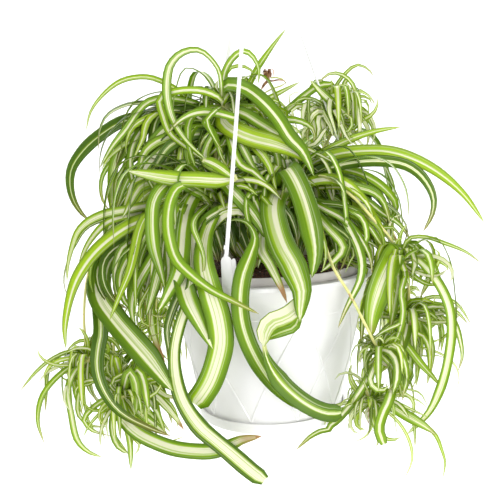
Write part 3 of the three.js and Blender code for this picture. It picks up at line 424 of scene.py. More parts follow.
def bladeNormals(tangents, facing):
    # carries the upper face's direction along the blade, from where it faces best
    flats = [facing - along * facing.dot(along) for along in tangents]
    best = max(range(len(flats)), key=lambda i: flats[i].length)
    normals = [None] * len(flats)
    normals[best] = flats[best].normalized()
    relax = foliage["facingPull"] / len(tangents)
    for order, step in ((range(best + 1, len(flats)), -1), (range(best - 1, -1, -1), 1)):
        for i in order:
            last = normals[i + step]
            normal = (last - tangents[i] * last.dot(tangents[i])).normalized()
            if normal.dot(flats[i]) > 0:
                normal = (normal + flats[i] * relax).normalized()
            normals[i] = normal
    return normals


def leafShare(share, style):
    # width along the blade, as a share of the widest place
    least, start, end = widening.get(style, widening["other"])
    root = least + (1 - least) * min(1, max(share - start, 0) / (end - start))
    if style in bluntStyles:
        return root
    taper = tapers.get(style, tapers["other"])
    return root * min(1, (max(1 - share, 0) / taper) ** foliage["tipPower"])


leafKind, runnerKind, rootKind = 0, 1, 2  # what the tree makes of a midrib


class Skeleton:
    # midribs, runners and roots of one piece, with what the tree reads at each point
    def __init__(self):
        self.points, self.edges, self.facing = [], [], []
        keys = ("kind", "size", "along", "stripe", "tone", "chance", "dry", "waves")
        self.values = {key: [] for key in keys}

    def add(self, path, normals, sizes, kind, looks):
        start = len(self.points)
        self.points += path
        self.edges += [(start + i, start + i + 1) for i in range(len(path) - 1)]
        self.facing += normals
        for i, size in enumerate(sizes):
            values = dict(looks, kind=kind, size=size, along=i / (len(path) - 1))
            for name, kept in self.values.items():
                kept.append(values.get(name, 0.0))

    def addLeaf(self, points, width, style, facing=None, level=None, twist=0.0):
        length = sum((b - a).length for a, b in zip(points, points[1:])) / mm
        count = int(min(max(length / foliage["step"], foliage["leastSteps"]), foliage["mostSteps"]))
        path, length = evenPath(points, count)
        tangents = tangentsOf(path)
        path = [clearOfPot(p, foliage["potGap"] + width * foliage["potGapShare"]) for p in path]
        if level:
            normals = [along.cross(level).normalized() for along in tangents]
        else:
            normals = bladeNormals(tangents, facing)
        normals = [Matrix.Rotation(twist * i / count, 3, along) @ normal
                   for i, (along, normal) in enumerate(zip(tangents, normals))]
        sizes = [max(width / 2 * leafShare(i / count, style), foliage["leastHalfWidth"]) * mm
                 for i in range(count + 1)]
        if style in bluntStyles:
            sizes[-1] *= foliage["bluntEnd"]
        stripe, tone = leafStyles[style]
        self.add(path, normals, sizes, leafKind, {
            "stripe": stripe + looksDraw(foliage["stripeSpread"]),
            "tone": tone + looksDraw(foliage["toneSpread"]),
            "chance": looksDraw((0, 1)), "dry": dryTips.get(style, 0.0),
            "waves": length / mm / looksDraw(foliage["waveLength"])})

    def addTube(self, points, radii, kind, steps, reach=1.0, margin=None):
        path, _ = evenPath(points, steps, reach)
        if margin is not None:
            path = [clearOfPot(p, margin) for p in path]
        facing = foliage["tubeFacing"]
        normals = [(facing - along * facing.dot(along)).normalized() for along in tangentsOf(path)]
        spans = len(radii) - 1
        sizes = []
        for i in range(steps + 1):
            at = min(int(i / steps * spans), spans - 1)
            sizes.append((radii[at] + (radii[at + 1] - radii[at]) * (i / steps * spans - at)) * mm)
        self.add(path, normals, sizes, kind, {"chance": looksDraw((0, 1))})

    def toObject(self, name):
        mesh = bpy.data.meshes.new(name)
        mesh.from_pydata([tuple(p) for p in self.points], self.edges, [])
        for key, kept in self.values.items():
            kind = "INT" if key == "kind" else "FLOAT"
            mesh.attributes.new(key, kind, "POINT").data.foreach_set("value", kept)
        flat = [value for normal in self.facing for value in normal]
        mesh.attributes.new("facing", "FLOAT_VECTOR", "POINT").data.foreach_set("vector", flat)
        return newObject(name, mesh)


# Where the leaves grow from
crowns = {
    "left": seen(213, 200, 30),
    "high": seen(222, 106, 10),
    "right": seen(292, 190, 20),
    "rear": fromRim(4, 44, 58),
}

# Leaves of the mother plant that the camera sees: crown, width, style, then three numbers for each place from
# root to tip: x and y in the picture, and how far in front of the pot's axis it is, in mm
motherLeaves = {
    "thinArch": ("high", 5.5, "lime", [198, 110, 4, 180, 92, 4, 163, 82, 4, 147, 77, 4, 124, 80, 0,
        107, 91, -5, 91, 111, -10, 86, 131, -12]),
    "darkArch": ("high", 13, "under", [196, 118, -6, 162, 119, -12, 142, 118, -14, 122, 122, -16,
        102, 134, -18, 84, 150, -20, 72, 168, -22, 70, 184, -22, 74, 201, -20, 84, 216, -15, 91, 221, -12]),
    "topLoop": ("high", 9, "loop", [221, 82, 26, 219, 71, 26, 211, 59, 26, 201, 51, 26, 191, 50, 26,
        179, 55, 26, 170, 66, 28, 167, 80, 32, 167, 97, 36, 171, 115, 40, 179, 131, 48, 191, 146, 56,
        208, 161, 62]),
    "paleFold": ("high", 8, "pale", [219, 98, 26, 201, 91, 30, 175, 92, 32, 160, 99, 32, 163, 115, 32,
        170, 133, 32, 186, 147, 34, 205, 161, 36]),
    "topShort": ("high", 7, "lime", [223, 82, 8, 226, 69, 8, 234, 57, 6, 243, 51, 4, 250, 54, 2, 256, 62, 0,
        259, 72, -2, 258, 84, -4]),
    "topThin": ("high", 4, "lime", [225, 80, 0, 229, 69, -2, 241, 66, -4, 252, 71, -6, 257, 82, -8]),
    "tallStraight": ("high", 6.5, "lime", [238, 99, -4, 248, 87, -7, 256, 71, -10, 265, 57, -12,
        275, 43, -14, 286, 29, -16]),
    "smallRight": ("high", 6.5, "lime", [250, 104, -16, 265, 100, -22, 279, 93, -28, 300, 82, -34]),
    "foldedEnd": ("high", 8, "blunt", [240, 122, -8, 262, 124, -14, 285, 112, -18, 303, 97, -20,
        319, 86, -20, 331, 84, -20]),
    "whiteCentre": ("high", 15, "deep", [225, 86, 22, 244, 88, 30, 262, 101, 36, 278, 119, 42, 290, 138, 48,
        303, 152, 54, 314, 176, 60]),
    # its light buttery tone is painted light that offsets the shade of whiteCentre above it
    "creamy": ("high", 19, "buttery", [224, 122, 22, 237, 132, 30, 255, 139, 38, 275, 144, 44, 291, 150, 48,
        304, 158, 50, 312, 165, 50]),
    "underCreamy": ("high", 12, "wide", [230, 110, 10, 243, 113, 14, 258, 122, 18, 278, 135, 24,
        296, 150, 26]),
    "leftSmall": ("high", 9, "", [236, 118, 34, 220, 114, 38, 205, 112, 42, 190, 115, 44, 176, 124, 46,
        168, 134, 46]),
    "innerSmall": ("high", 5, "", [214, 112, 46, 207, 120, 50, 212, 134, 52, 223, 153, 54]),
    "levelFold": ("", 10, "pale", [203, 160, 60, 212, 163, 66, 222, 169, 70, 235, 179, 70]),
    "levelLeft": ("", 15, "pale", [237, 177, 66, 228, 180, 68, 216, 181, 70, 199, 180, 72, 173, 179, 75,
        148, 175, 74, 127, 171, 70]),
    "longLeft": ("left", 13, "bright", [195, 200, 40, 172, 207, 48, 149, 218, 52, 131, 225, 52,
        111, 238, 50, 92, 256, 46, 77, 279, 42, 69, 303, 38, 65, 329, 34, 66, 349, 30]),
    "leftKinked": ("left", 9, "pale", [185, 203, 40, 150, 205, 40, 125, 210, 36, 105, 214, 30, 88, 222, 26,
        78, 232, 22, 72, 248, 18, 68, 265, 14, 67, 282, 12]),
    "hangA": ("left", 13, "wide", [192, 190, 56, 175, 181, 64, 163, 187, 72, 154, 201, 78, 152, 221, 82,
        154, 247, 84, 160, 269, 86, 165, 288, 88]),
    "hangB": ("left", 11, "", [204, 193, 52, 190, 186, 70, 178, 188, 84, 171, 200, 94, 168, 221, 102,
        170, 239, 108, 177, 260, 116, 195, 278, 124, 213, 291, 130, 233, 301, 134, 245, 307, 136,
        259, 314, 136]),
    "paleWedge": ("left", 18, "cream", [186, 230, 70, 182, 262, 92, 187, 296, 110, 199, 322, 113,
        213, 349, 113]),
    "hangC": ("left", 15, "wide", [198, 193, 44, 189, 206, 58, 184, 229, 78, 182, 252, 94, 179, 272, 104,
        168, 294, 106, 158, 312, 106]),
    "darkInner": ("left", 10, "under", [222, 208, 56, 205, 220, 66, 196, 235, 74, 192, 246, 78]),
    "creamStrap": ("left", 23, "strap", [216, 212, 58, 210, 224, 68, 205, 240, 82, 204, 264, 104,
        210, 290, 117, 218, 316, 115, 221, 341, 108, 216, 365, 100, 208, 385, 94, 195, 404, 88]),
    "centreStrap": ("left", 16, "late", [213, 233, 52, 221, 225, 62, 235, 220, 72, 248, 224, 84,
        255, 238, 96, 250, 256, 108, 243, 275, 116, 240, 295, 120, 241, 318, 117, 247, 340, 111,
        257, 361, 105, 271, 382, 99, 286, 397, 95, 301, 407, 91, 316, 412, 87]),
    "twistedTop": ("right", 24, "cream", [276, 196, 54, 273, 210, 72, 276, 228, 88, 283, 248, 104,
        292, 264, 114, 298, 278, 120, 302, 291, 123, 301, 306, 125, 300, 322, 125]),
    "twistedFold": ("", 16, "underside", [301, 296, 118, 294, 310, 121, 284, 317, 122, 273, 321, 122,
        266, 328, 122, 264, 337, 122, 264, 347, 121]),
    "twistedUnder": ("", 9, "plain", [300, 314, 119, 294, 327, 121, 281, 332, 121, 265, 340, 120]),
    "twistedEnd": ("", 17, "turned", [264, 342, 120, 265, 352, 119, 270, 366, 116, 278, 379, 112,
        289, 391, 107, 303, 402, 101, 318, 410, 95, 330, 413, 91, 341, 412, 88]),
    "paleTip": ("right", 12, "dry", [280, 214, 50, 264, 232, 74, 262, 251, 96, 269, 263, 106, 277, 279, 114,
        283, 292, 118, 287, 303, 118]),
    "broadCentre": ("right", 21, "deep", [284, 180, 40, 287, 169, 54, 294, 178, 70, 301, 193, 82,
        307, 211, 94, 312, 232, 106, 315, 254, 116, 312, 278, 122]),
    "rightHang": ("right", 9, "", [305, 192, 34, 320, 203, 46, 335, 212, 56, 345, 222, 66, 353, 236, 78,
        359, 250, 88, 362, 265, 96, 360, 280, 100, 353, 295, 101, 345, 311, 101, 338, 328, 100]),
    "rightPale": ("right", 11, "pale", [308, 183, 44, 320, 180, 50, 335, 180, 54, 348, 185, 56,
        360, 195, 58, 368, 205, 60, 372, 214, 60]),
    "rightShort": ("right", 10, "", [318, 178, 34, 340, 181, 38, 355, 187, 42, 372, 192, 44, 382, 200, 46,
        387, 212, 48, 390, 224, 48]),
    "longRight": ("right", 12.5, "bright", [302, 172, 14, 317, 161, 12, 338, 154, 10, 364, 151, 8,
        389, 152, 6, 415, 160, 4, 440, 174, 2, 463, 194, 0, 484, 222, -2]),
    "underRight": ("right", 12, "under", [304, 178, 24, 320, 171, 26, 345, 164, 26, 376, 161, 26,
        405, 165, 26, 422, 177, 26, 433, 197, 26, 432, 214, 26, 423, 232, 26]),
    "upRight": ("right", 8, "lime", [303, 166, 2, 324, 152, -2, 351, 139, -4, 376, 131, -6, 401, 127, -8]),
    "thinFold": ("high", 5, "pale", [246, 124, 14, 266, 130, 18, 286, 138, 24, 304, 147, 36, 322, 156, 48,
        342, 167, 54]),
    "darkFall": ("left", 15, "under", [160, 222, 10, 124, 242, 0, 106, 266, 2, 99, 290, 16, 100, 312, 30,
        101, 333, 40, 98, 350, 46, 97, 366, 50, 100, 381, 53, 107, 396, 55, 117, 409, 58, 129, 418, 61,
        143, 425, 64, 157, 431, 66, 171, 436, 68]),
    "lowSweep": ("", 15, "sweep", [111, 398, 32, 118, 412, 38, 128, 424, 44, 140, 434, 52, 156, 442, 60,
        173, 448, 70, 193, 451, 80, 212, 451, 87, 229, 446, 92, 241, 440, 95, 262, 436, 98]),
    "lowDiagonal": ("left", 18, "cut", [195, 215, 60, 193, 245, 86, 194, 275, 104, 188, 302, 108,
        180, 325, 108, 175, 350, 106, 176, 375, 104, 181, 395, 102, 189, 411, 100, 201, 427, 98,
        216, 440, 96, 235, 456, 96, 254, 472, 96, 265, 480, 96]),
    "broadDiagonal": ("left", 24, "broad", [165, 212, 10, 142, 228, 4, 120, 244, 2, 106, 262, 4,
        99, 281, 16, 101, 300, 36, 114, 319, 56, 132, 340, 74, 148, 358, 88, 162, 376, 100, 173, 391, 112]),
    "leftLoop": ("high", 8, "", [200, 128, -22, 182, 140, -28, 165, 146, -30, 145, 146, -30, 125, 152, -30,
        110, 164, -30, 102, 178, -30, 101, 192, -30, 104, 203, -29, 110, 211, -28]),
    "leftThin": ("left", 7, "", [195, 175, 12, 175, 160, 8, 151, 152, 2, 130, 162, -2, 117, 179, -6,
        114, 199, -8]),
    "leftBlunt": ("high", 10, "blunt", [196, 128, -34, 160, 127, -40, 145, 128, -44, 132, 131, -46,
        126, 144, -46, 122, 158, -46]),
}

# Smaller leaves between those: crown, width, style, how far in front of the axis the first and the last place
# are, then x and y of each place in the picture
innerLeaves = [
    ("left", 13, "wide", 54, 84, [222, 181, 234, 193, 247, 207, 259, 223, 268, 241]),
    ("high", 8, "", 36, 56, [244, 150, 251, 163, 257, 172, 266, 184]),
    ("high", 9, "lime", 38, 62, [256, 148, 263, 156, 270, 168, 274, 182, 277, 193]),
    ("high", 9, "", 46, 70, [240, 165, 253, 172, 264, 182, 275, 191, 281, 200]),
    ("left", 7, "pale", 54, 72, [238, 181, 255, 181, 268, 187, 281, 199]),
    ("right", 5, "under", 56, 74, [287, 172, 284, 185, 281, 200]),
    ("right", 8, "", 52, 86, [252, 192, 256, 203, 262, 218, 267, 236]),
    ("left", 9, "milky", 60, 70, [208, 238, 213, 226, 226, 214, 238, 212, 250, 218, 257, 231]),
    ("left", 9, "pale", 56, 66, [203, 236, 213, 216, 228, 207, 244, 207, 256, 216, 262, 227]),
    ("high", 6, "milky", 14, 10, [221, 100, 216, 90, 218, 80]),
    ("high", 6, "pale", 18, 14, [224, 100, 231, 90, 238, 84]),
    ("high", 6, "milky", 18, 16, [222, 102, 212, 96, 204, 95]),
    ("high", 5, "pale", -6, -20, [248, 106, 262, 96, 270, 100, 274, 114, 270, 126]),
    ("high", 4, "lime", -10, -24, [254, 108, 272, 100, 284, 106, 288, 120]),
    ("high", 4, "milky", -14, -26, [260, 112, 278, 108, 290, 114, 294, 128]),
    ("high", 9, "lime", 14, 24, [228, 122, 231, 133, 231, 148, 230, 167]),
    ("high", 11, "pale", 30, 44, [205, 160, 220, 170, 233, 178, 242, 184]),
    ("left", 8, "bright", 56, 66, [228, 190, 236, 186, 248, 188, 258, 196]),
    ("right", 6, "lime", 60, 84, [262, 196, 270, 206, 276, 222, 276, 240]),
    ("right", 7, "under", 70, 96, [282, 205, 290, 216, 296, 232, 298, 250]),
    ("right", 6, "", 66, 92, [248, 196, 246, 210, 250, 228, 256, 246, 258, 262]),
    ("right", 8, "pale", 74, 98, [276, 226, 270, 240, 262, 254, 258, 268]),
    ("right", 10, "milky", 50, 62, [338, 224, 344, 238, 334, 252, 318, 263]),
    # five dark leaves whose dark tone paints the shade in the hollow between the crowns
    ("left", 12, "under", 44, 52, [214, 212, 215, 226, 219, 240, 223, 254]),
    ("left", 12, "under", 40, 48, [220, 208, 226, 222, 231, 238, 236, 254]),
    ("left", 12, "under", 36, 44, [228, 206, 236, 222, 243, 238, 250, 256]),
    ("left", 11, "under", 46, 60, [208, 210, 207, 228, 212, 246, 218, 262]),
    ("left", 12, "under", 30, 36, [209, 218, 213, 234, 217, 248, 220, 262]),
    ("high", 5, "", -18, -18, [185, 140, 160, 146, 140, 148, 122, 158, 112, 172, 108, 188, 108, 203]),
    ("high", 6, "lime", -12, -12, [176, 148, 152, 153, 135, 160, 124, 172, 116, 188, 114, 203]),
    ("high", 8, "", 0, 6, [172, 150, 148, 160, 133, 172, 124, 188, 118, 205, 112, 219]),
    ("high", 8, "lime", 8, 10, [184, 143, 163, 148, 155, 158, 150, 166, 145, 175]),
    ("left", 8, "pale", 34, 34, [168, 180, 147, 177, 134, 182, 128, 196, 122, 213]),
    ("left", 11, "pale", 44, 46, [178, 186, 156, 182, 141, 187, 132, 201, 122, 219]),
    ("left", 6, "", 44, 50, [176, 180, 160, 174, 149, 179, 153, 188, 161, 199]),
    ("left", 5, "under", 30, 36, [202, 165, 185, 162, 170, 163, 152, 168]),
    ("left", 5, "", 22, 26, [202, 158, 187, 157, 170, 155, 152, 158]),
    ("high", 8, "lime", 36, 46, [197, 112, 189, 123, 188, 135, 190, 150, 196, 169]),
    ("high", 7, "", 44, 54, [205, 122, 213, 132, 218, 145, 222, 158, 228, 167]),
    ("high", 7, "under", 20, 30, [212, 124, 206, 140, 205, 156, 210, 172]),
    ("high", 6, "bright", 10, 20, [176, 118, 172, 132, 172, 148, 178, 164]),
    ("left", 7, "", 36, 44, [200, 186, 186, 192, 174, 196, 160, 196, 150, 190]),
    ("left", 9, "under", 20, 26, [196, 196, 174, 192, 150, 190, 134, 196, 124, 208, 118, 224]),
    ("left", 6, "lime", 44, 52, [190, 200, 172, 196, 158, 202, 146, 214, 140, 230]),
    ("left", 4, "under", 4, 6, [90, 226, 76, 244, 67, 264, 64, 280, 66, 292, 71, 301]),
    ("left", 8, "pale", 36, 14, [136, 214, 108, 222, 92, 238, 83, 254, 78, 271]),
    ("left", 10, "under", 40, 44, [140, 235, 113, 250, 104, 262, 103, 278, 108, 292, 117, 303, 129, 309]),
    ("left", 8, "cream", 46, 48, [145, 236, 123, 247, 116, 265, 115, 281, 118, 301]),
    ("left", 6, "", 50, 50, [150, 244, 134, 258, 125, 272, 122, 285, 121, 298]),
    ("left", 9, "under", 32, 38, [130, 238, 106, 254, 97, 272, 101, 292, 112, 305, 126, 311]),
    ("left", 5, "lime", 44, 44, [142, 220, 128, 232, 130, 250, 135, 262, 143, 270]),
    ("left", 5, "cream", 48, 52, [160, 240, 134, 249, 143, 251, 152, 254]),
    ("left", 12, "wide", 62, 62, [176, 234, 160, 248, 150, 263, 140, 280, 134, 295, 132, 311, 136, 329]),
    ("left", 4, "dry", 54, 54, [156, 262, 148, 283, 145, 300, 149, 319]),
    ("left", 8, "cream", 72, 82, [174, 228, 168, 249, 169, 270, 166, 290]),
    ("left", 6, "", 92, 112, [193, 226, 200, 245, 204, 260, 202, 280]),
    ("left", 5, "pale", 70, 72, [156, 252, 152, 272, 154, 290, 159, 302]),
    ("left", 4, "", 64, 70, [158, 276, 147, 300, 149, 312, 159, 317, 170, 313]),
    ("left", 4, "lime", 60, 64, [148, 290, 139, 310, 145, 325, 155, 325, 159, 319]),
    ("left", 3, "", 54, 58, [144, 300, 137, 322, 146, 336, 158, 334, 164, 329]),
    ("left", 9, "under", 92, 98, [192, 258, 183, 286, 173, 308, 167, 330, 169, 350, 172, 375]),
    ("left", 10, "deep", 30, 34, [150, 236, 124, 246, 110, 262, 106, 280, 112, 298, 124, 310]),
    ("left", 8, "lime", 26, 26, [146, 240, 128, 252, 118, 268, 116, 286, 122, 302]),
    ("left", 9, "", 16, 16, [140, 240, 118, 254, 108, 272, 108, 290, 116, 304]),
    ("left", 8, "under", 20, 20, [150, 244, 134, 256, 124, 270, 120, 288, 128, 302]),
    ("left", 13, "under", 6, 0, [160, 232, 138, 248, 122, 266, 116, 286, 120, 306]),
    ("left", 13, "under", 0, -6, [170, 240, 150, 256, 136, 274, 130, 294, 132, 314]),
    ("left", 12, "deep", 10, 4, [178, 246, 162, 262, 148, 280, 142, 300, 142, 322]),
    ("left", 12, "under", 2, -2, [176, 246, 158, 256, 145, 274, 141, 300, 144, 326]),
    ("left", 11, "wide", 44, 50, [162, 236, 140, 246, 126, 262, 120, 282, 124, 300, 134, 312]),
    ("left", 10, "deep", 54, 60, [170, 244, 150, 256, 136, 274, 132, 294, 136, 312]),
    ("left", 12, "dry", 42, 46, [174, 248, 158, 266, 151, 288, 150, 314, 155, 340, 165, 362]),
    ("left", 7, "lime", 30, 30, [120, 226, 100, 244, 92, 262, 90, 280, 94, 296]),
    ("left", 6, "under", 40, 44, [150, 226, 140, 244, 138, 262, 142, 282, 140, 300]),
    ("left", 7, "", 56, 60, [168, 226, 152, 236, 144, 250, 140, 268, 146, 284]),
    ("left", 8, "under", 66, 74, [176, 246, 164, 268, 156, 290, 150, 310, 150, 330]),
    ("right", 4, "pale", 58, 60, [352, 190, 368, 206, 373, 218, 371, 229, 366, 241]),
    ("right", 8, "", 44, 44, [360, 198, 385, 215, 397, 222, 407, 234, 410, 242]),
    ("right", 5, "lime", 48, 52, [362, 224, 383, 228, 392, 227, 399, 235, 402, 246]),
    ("right", 7, "under", 48, 62, [308, 198, 322, 203, 340, 205, 360, 212, 371, 221]),
    ("right", 6, "", 54, 66, [320, 206, 335, 212, 350, 215, 362, 222, 371, 231]),
    ("right", 8, "", 60, 68, [352, 214, 370, 228, 378, 240, 388, 253]),
    ("right", 6, "under", 72, 98, [334, 226, 350, 240, 346, 257, 340, 271]),
    ("right", 4, "pale", 76, 98, [342, 234, 354, 253, 350, 262, 345, 273]),
    ("right", 9, "cream", 78, 104, [326, 226, 343, 248, 334, 261, 321, 272]),
    ("right", 5, "", 60, 62, [347, 228, 365, 240, 376, 246, 386, 259]),
    ("right", 4, "under", 66, 76, [308, 226, 325, 229, 340, 230, 352, 239]),
    ("right", 3, "under", 72, 82, [310, 234, 326, 234, 340, 237, 350, 247]),
    ("right", 6, "lime", 36, 24, [316, 190, 342, 196, 366, 206, 386, 224, 396, 244]),
    ("right", 7, "under", 66, 92, [318, 214, 330, 228, 336, 246, 336, 264, 330, 280]),
    ("right", 8, "", 58, 90, [322, 208, 344, 220, 360, 238, 370, 258, 372, 274]),
    ("right", 6, "bright", 84, 106, [312, 218, 322, 236, 326, 254, 322, 272]),
    ("right", 7, "", 46, 70, [330, 204, 356, 214, 378, 232, 386, 250, 384, 268]),
]

def named(keys, rows):
    # each row of values as a dictionary with these keys
    return [dict(zip(keys.split(), row)) for row in rows]


# Rosettes: azimuth 0 is the front, 90 the right; skip lists the leaves that would cross another piece
rosetteKeys = "crown leaves azimuth reach rise droop width skip"
rosetteStyles = ("", "wide", "pale", "bright", "")
rosettes = named(rosetteKeys, [
    ("rear", 23, (95, 265), (90, 165), (34, 80), (0.33, 0.46), (9, 15), [20, 21]),
    ("high", 10, (80, 300), (50, 105), (14, 40), (0.3, 0.42), (6, 10), [0]),
    ("left", 10, (190, 330), (70, 125), (22, 56), (0.33, 0.42), (7, 12), [8, 9]),
    ("right", 10, (35, 175), (70, 120), (22, 56), (0.33, 0.42), (7, 12), [0, 1, 4, 5, 6]),
])

# Leaves that only fill the clumps, shorter than the others of the same crown
fillRosettes = named(rosetteKeys, [
    ("left", 26, (32, 328), (22, 70), (10, 42), (0.36, 0.5), (5, 10)),
    ("right", 26, (32, 328), (22, 70), (10, 42), (0.36, 0.5), (5, 10)),
    ("high", 18, (32, 328), (16, 46), (6, 20), (0.36, 0.5), (4, 8)),
    ("rear", 22, (60, 300), (25, 80), (10, 44), (0.36, 0.5), (6, 11)),
])

# Sprays of smaller leaves between those above, as in the picture: where they start and how far round there,
# how many, how far each runs sideways, rises and falls, in pixels, and how far in front it ends, in mm
sprayKeys = "root at round leaves side lift drop toward width"
sprays = named(sprayKeys, [
    ("high", (214, 116, 8), 13, 30, (-122, -40), (4, 22), (20, 120), (-24, 26), (7, 12)),
    ("high", (214, 134, 18), 15, 20, (-74, -10), (4, 18), (0, 90), (10, 40), (7, 12)),
    ("left", (208, 190, 34), 16, 16, (-128, -50), (6, 30), (20, 100), (-24, 16), (8, 13)),
    ("left", (200, 200, 42), 16, 12, (-80, -16), (4, 22), (40, 110), (10, 40), (8, 13)),
    ("left", (188, 210, 50), 13, 12, (-70, 8), (2, 14), (60, 118), (50, 80), (7, 12)),
    ("high", (244, 142, 12), 16, 24, (-64, 64), (4, 18), (-4, 70), (12, 38), (7, 12)),
    ("right", (266, 184, 20), 18, 18, (-60, 50), (4, 18), (10, 76), (24, 46), (7, 12)),
    ("right", (302, 176, 14), 14, 30, (34, 100), (0, 8), (46, 96), (0, 48), (7, 12)),
    ("right", (308, 190, 24), 16, 20, (6, 74), (2, 14), (40, 88), (20, 62), (7, 12)),
    ("right", (300, 206, 30), 16, 22, (-44, 66), (0, 8), (26, 70), (34, 66), (7, 12)),
    ("right", (318, 212, 40), 12, 14, (0, 62), (0, 8), (34, 62), (50, 82), (7, 12)),
    ("high", (248, 108, 0), 12, 14, (-40, 46), (6, 20), (0, 60), (-36, 10), (6, 11)),
])
bareWall = {"left": 238, "right": 366, "top": 284, "bottom": 440}  # where the picture shows the pot

# Plantlets: crown, and a rule for the leaves all round; skip lists those that would cross another piece
plantlets = {rule["name"]: rule for rule in named("name at leaves reach rise width skip upturn roots", [
    ("topRight", seen(335, 118, -34), 15, (26, 44), (12, 34), (5, 8), [2, 4, 5, 10, 12, 14], 1.4, 2),
    ("rightUpper", seen(402, 262, 58), 9, (26, 50), (10, 24), (6, 9), [3, 8]),
    ("rightMid", seen(408, 315, 46), 8, (24, 44), (8, 20), (5, 8), []),
    ("rightLow", seen(380, 352, 92), 9, (16, 32), (6, 16), (4, 7), [4, 8]),
    ("lowerRight", seen(371, 402, 72), 5, (14, 26), (4, 10), (4, 6), []),
    ("left", seen(88, 360, 6), 9, (20, 42), (8, 20), (4, 7), [0, 8]),
    ("leftLow", seen(122, 396, 26), 6, (18, 34), (6, 14), (4, 7), [3]),
    ("rearLeft", fromRim(-128, 92, -72), 11, (30, 56), (10, 24), (5, 9), [9]),
    ("rearMid", fromRim(-14, 152, -104), 11, (30, 56), (10, 24), (5, 9), []),
    ("rearRight", fromRim(122, 96, -58), 11, (30, 56), (10, 24), (5, 9), []),
])}

# Long leaves of the plantlets that the camera sees, as those of the mother plant but with no crown
plantletLongLeaves = {
    "topRight": [
        (4, "", [334, 91, -34, 346, 73, -32, 357, 65, -30, 368, 69, -28, 374, 77, -26]),
        (5, "", [352, 112, -26, 356, 97, -22, 351, 82, -20, 340, 74, -20, 329, 74, -22, 318, 83, -24]),
        (3, "", [350, 100, -40, 358, 90, -44, 368, 95, -46, 375, 103, -48]),
        (9, "wide", [346, 116, -14, 337, 107, -10, 326, 97, -8, 317, 88, -8, 310, 80, -8]),
        (6, "", [348, 108, -30, 364, 114, -28, 373, 128, -26, 374, 140, -24]),
    ],
    "rightUpper": [
        (4, "", [404, 246, 60, 410, 238, 62, 425, 237, 64, 444, 243, 64, 466, 252, 62, 481, 263, 60]),
        (8, "", [412, 246, 48, 424, 254, 44, 429, 276, 42, 420, 298, 42]),
        (22, "", [396, 252, 70, 389, 264, 80, 382, 280, 88, 376, 298, 92, 372, 316, 94, 371, 338, 92]),
        (10, "cream", [414, 258, 66, 430, 272, 70, 442, 290, 72, 449, 308, 72, 451, 330, 70, 449, 352, 66,
            445, 372, 63, 439, 391, 61, 430, 410, 60, 418, 424, 58, 406, 435, 57]),
        (6, "", [405, 275, 74, 401, 292, 80, 403, 310, 82, 400, 330, 82, 393, 346, 82, 385, 363, 80]),
    ],
    "rightMid": [
        (5, "", [425, 304, 44, 445, 306, 42, 458, 313, 40, 468, 324, 38]),
        (4, "", [424, 299, 34, 440, 297, 30, 457, 304, 26, 471, 324, 24]),
        (6, "", [424, 308, 54, 440, 307, 56, 453, 320, 56, 460, 340, 56, 462, 357, 54, 458, 371, 52]),
        (12, "wide", [405, 334, 56, 399, 350, 60, 395, 366, 62, 395, 382, 62, 398, 397, 62]),
        (7, "", [411, 332, 44, 411, 352, 42, 408, 379, 40, 402, 401, 40]),
        (7, "", [420, 328, 40, 429, 350, 36, 430, 368, 34, 427, 384, 32]),
    ],
    "rightLow": [
        (8, "under", [373, 368, 96, 360, 391, 88, 346, 410, 74, 331, 425, 62, 311, 436, 54, 296, 450, 50]),
    ],
    "lowerRight": [
        (10, "blunt", [384, 394, 76, 391, 389, 90, 389, 400, 98, 383, 413, 100, 379, 429, 100, 384, 444, 98]),
        (10.5, "", [379, 398, 70, 390, 405, 72, 404, 414, 74, 418, 422, 76, 429, 429, 76, 436, 435, 76]),
        (4, "lime", [400, 412, 70, 424, 424, 74, 436, 436, 75, 441, 448, 74, 445, 462, 73, 443, 478, 72]),
        (3, "pale", [385, 410, 82, 400, 424, 86, 410, 443, 86, 412, 460, 84, 405, 478, 82]),
    ],
    "left": [
        (4, "", [76, 351, 6, 57, 356, 4, 38, 370, 2, 20, 391, 0]),
        (6, "", [78, 362, 12, 56, 378, 14, 42, 397, 14, 38, 421, 12, 44, 443, 10]),
        (6, "", [77, 366, -2, 75, 378, -6, 76, 394, -8, 83, 416, -8]),
        (7, "wide", [76, 370, 22, 68, 389, 24, 71, 412, 24, 78, 441, 24, 89, 452, 24, 102, 457, 22]),
        (5, "", [84, 378, 10, 78, 399, 6, 79, 415, 4, 90, 425, 2, 108, 427, 0]),
    ],
    "leftLow": [
        (5, "", [116, 410, 22, 113, 432, 20, 128, 453, 18]),
        (6, "wide", [124, 415, 32, 130, 444, 34, 131, 470, 34]),
        (9, "wide", [129, 404, 20, 147, 419, 16, 168, 435, 12]),
        (6, "", [108, 398, 26, 95, 406, 28, 84, 420, 28, 92, 430, 28, 106, 435, 28]),
    ],
}

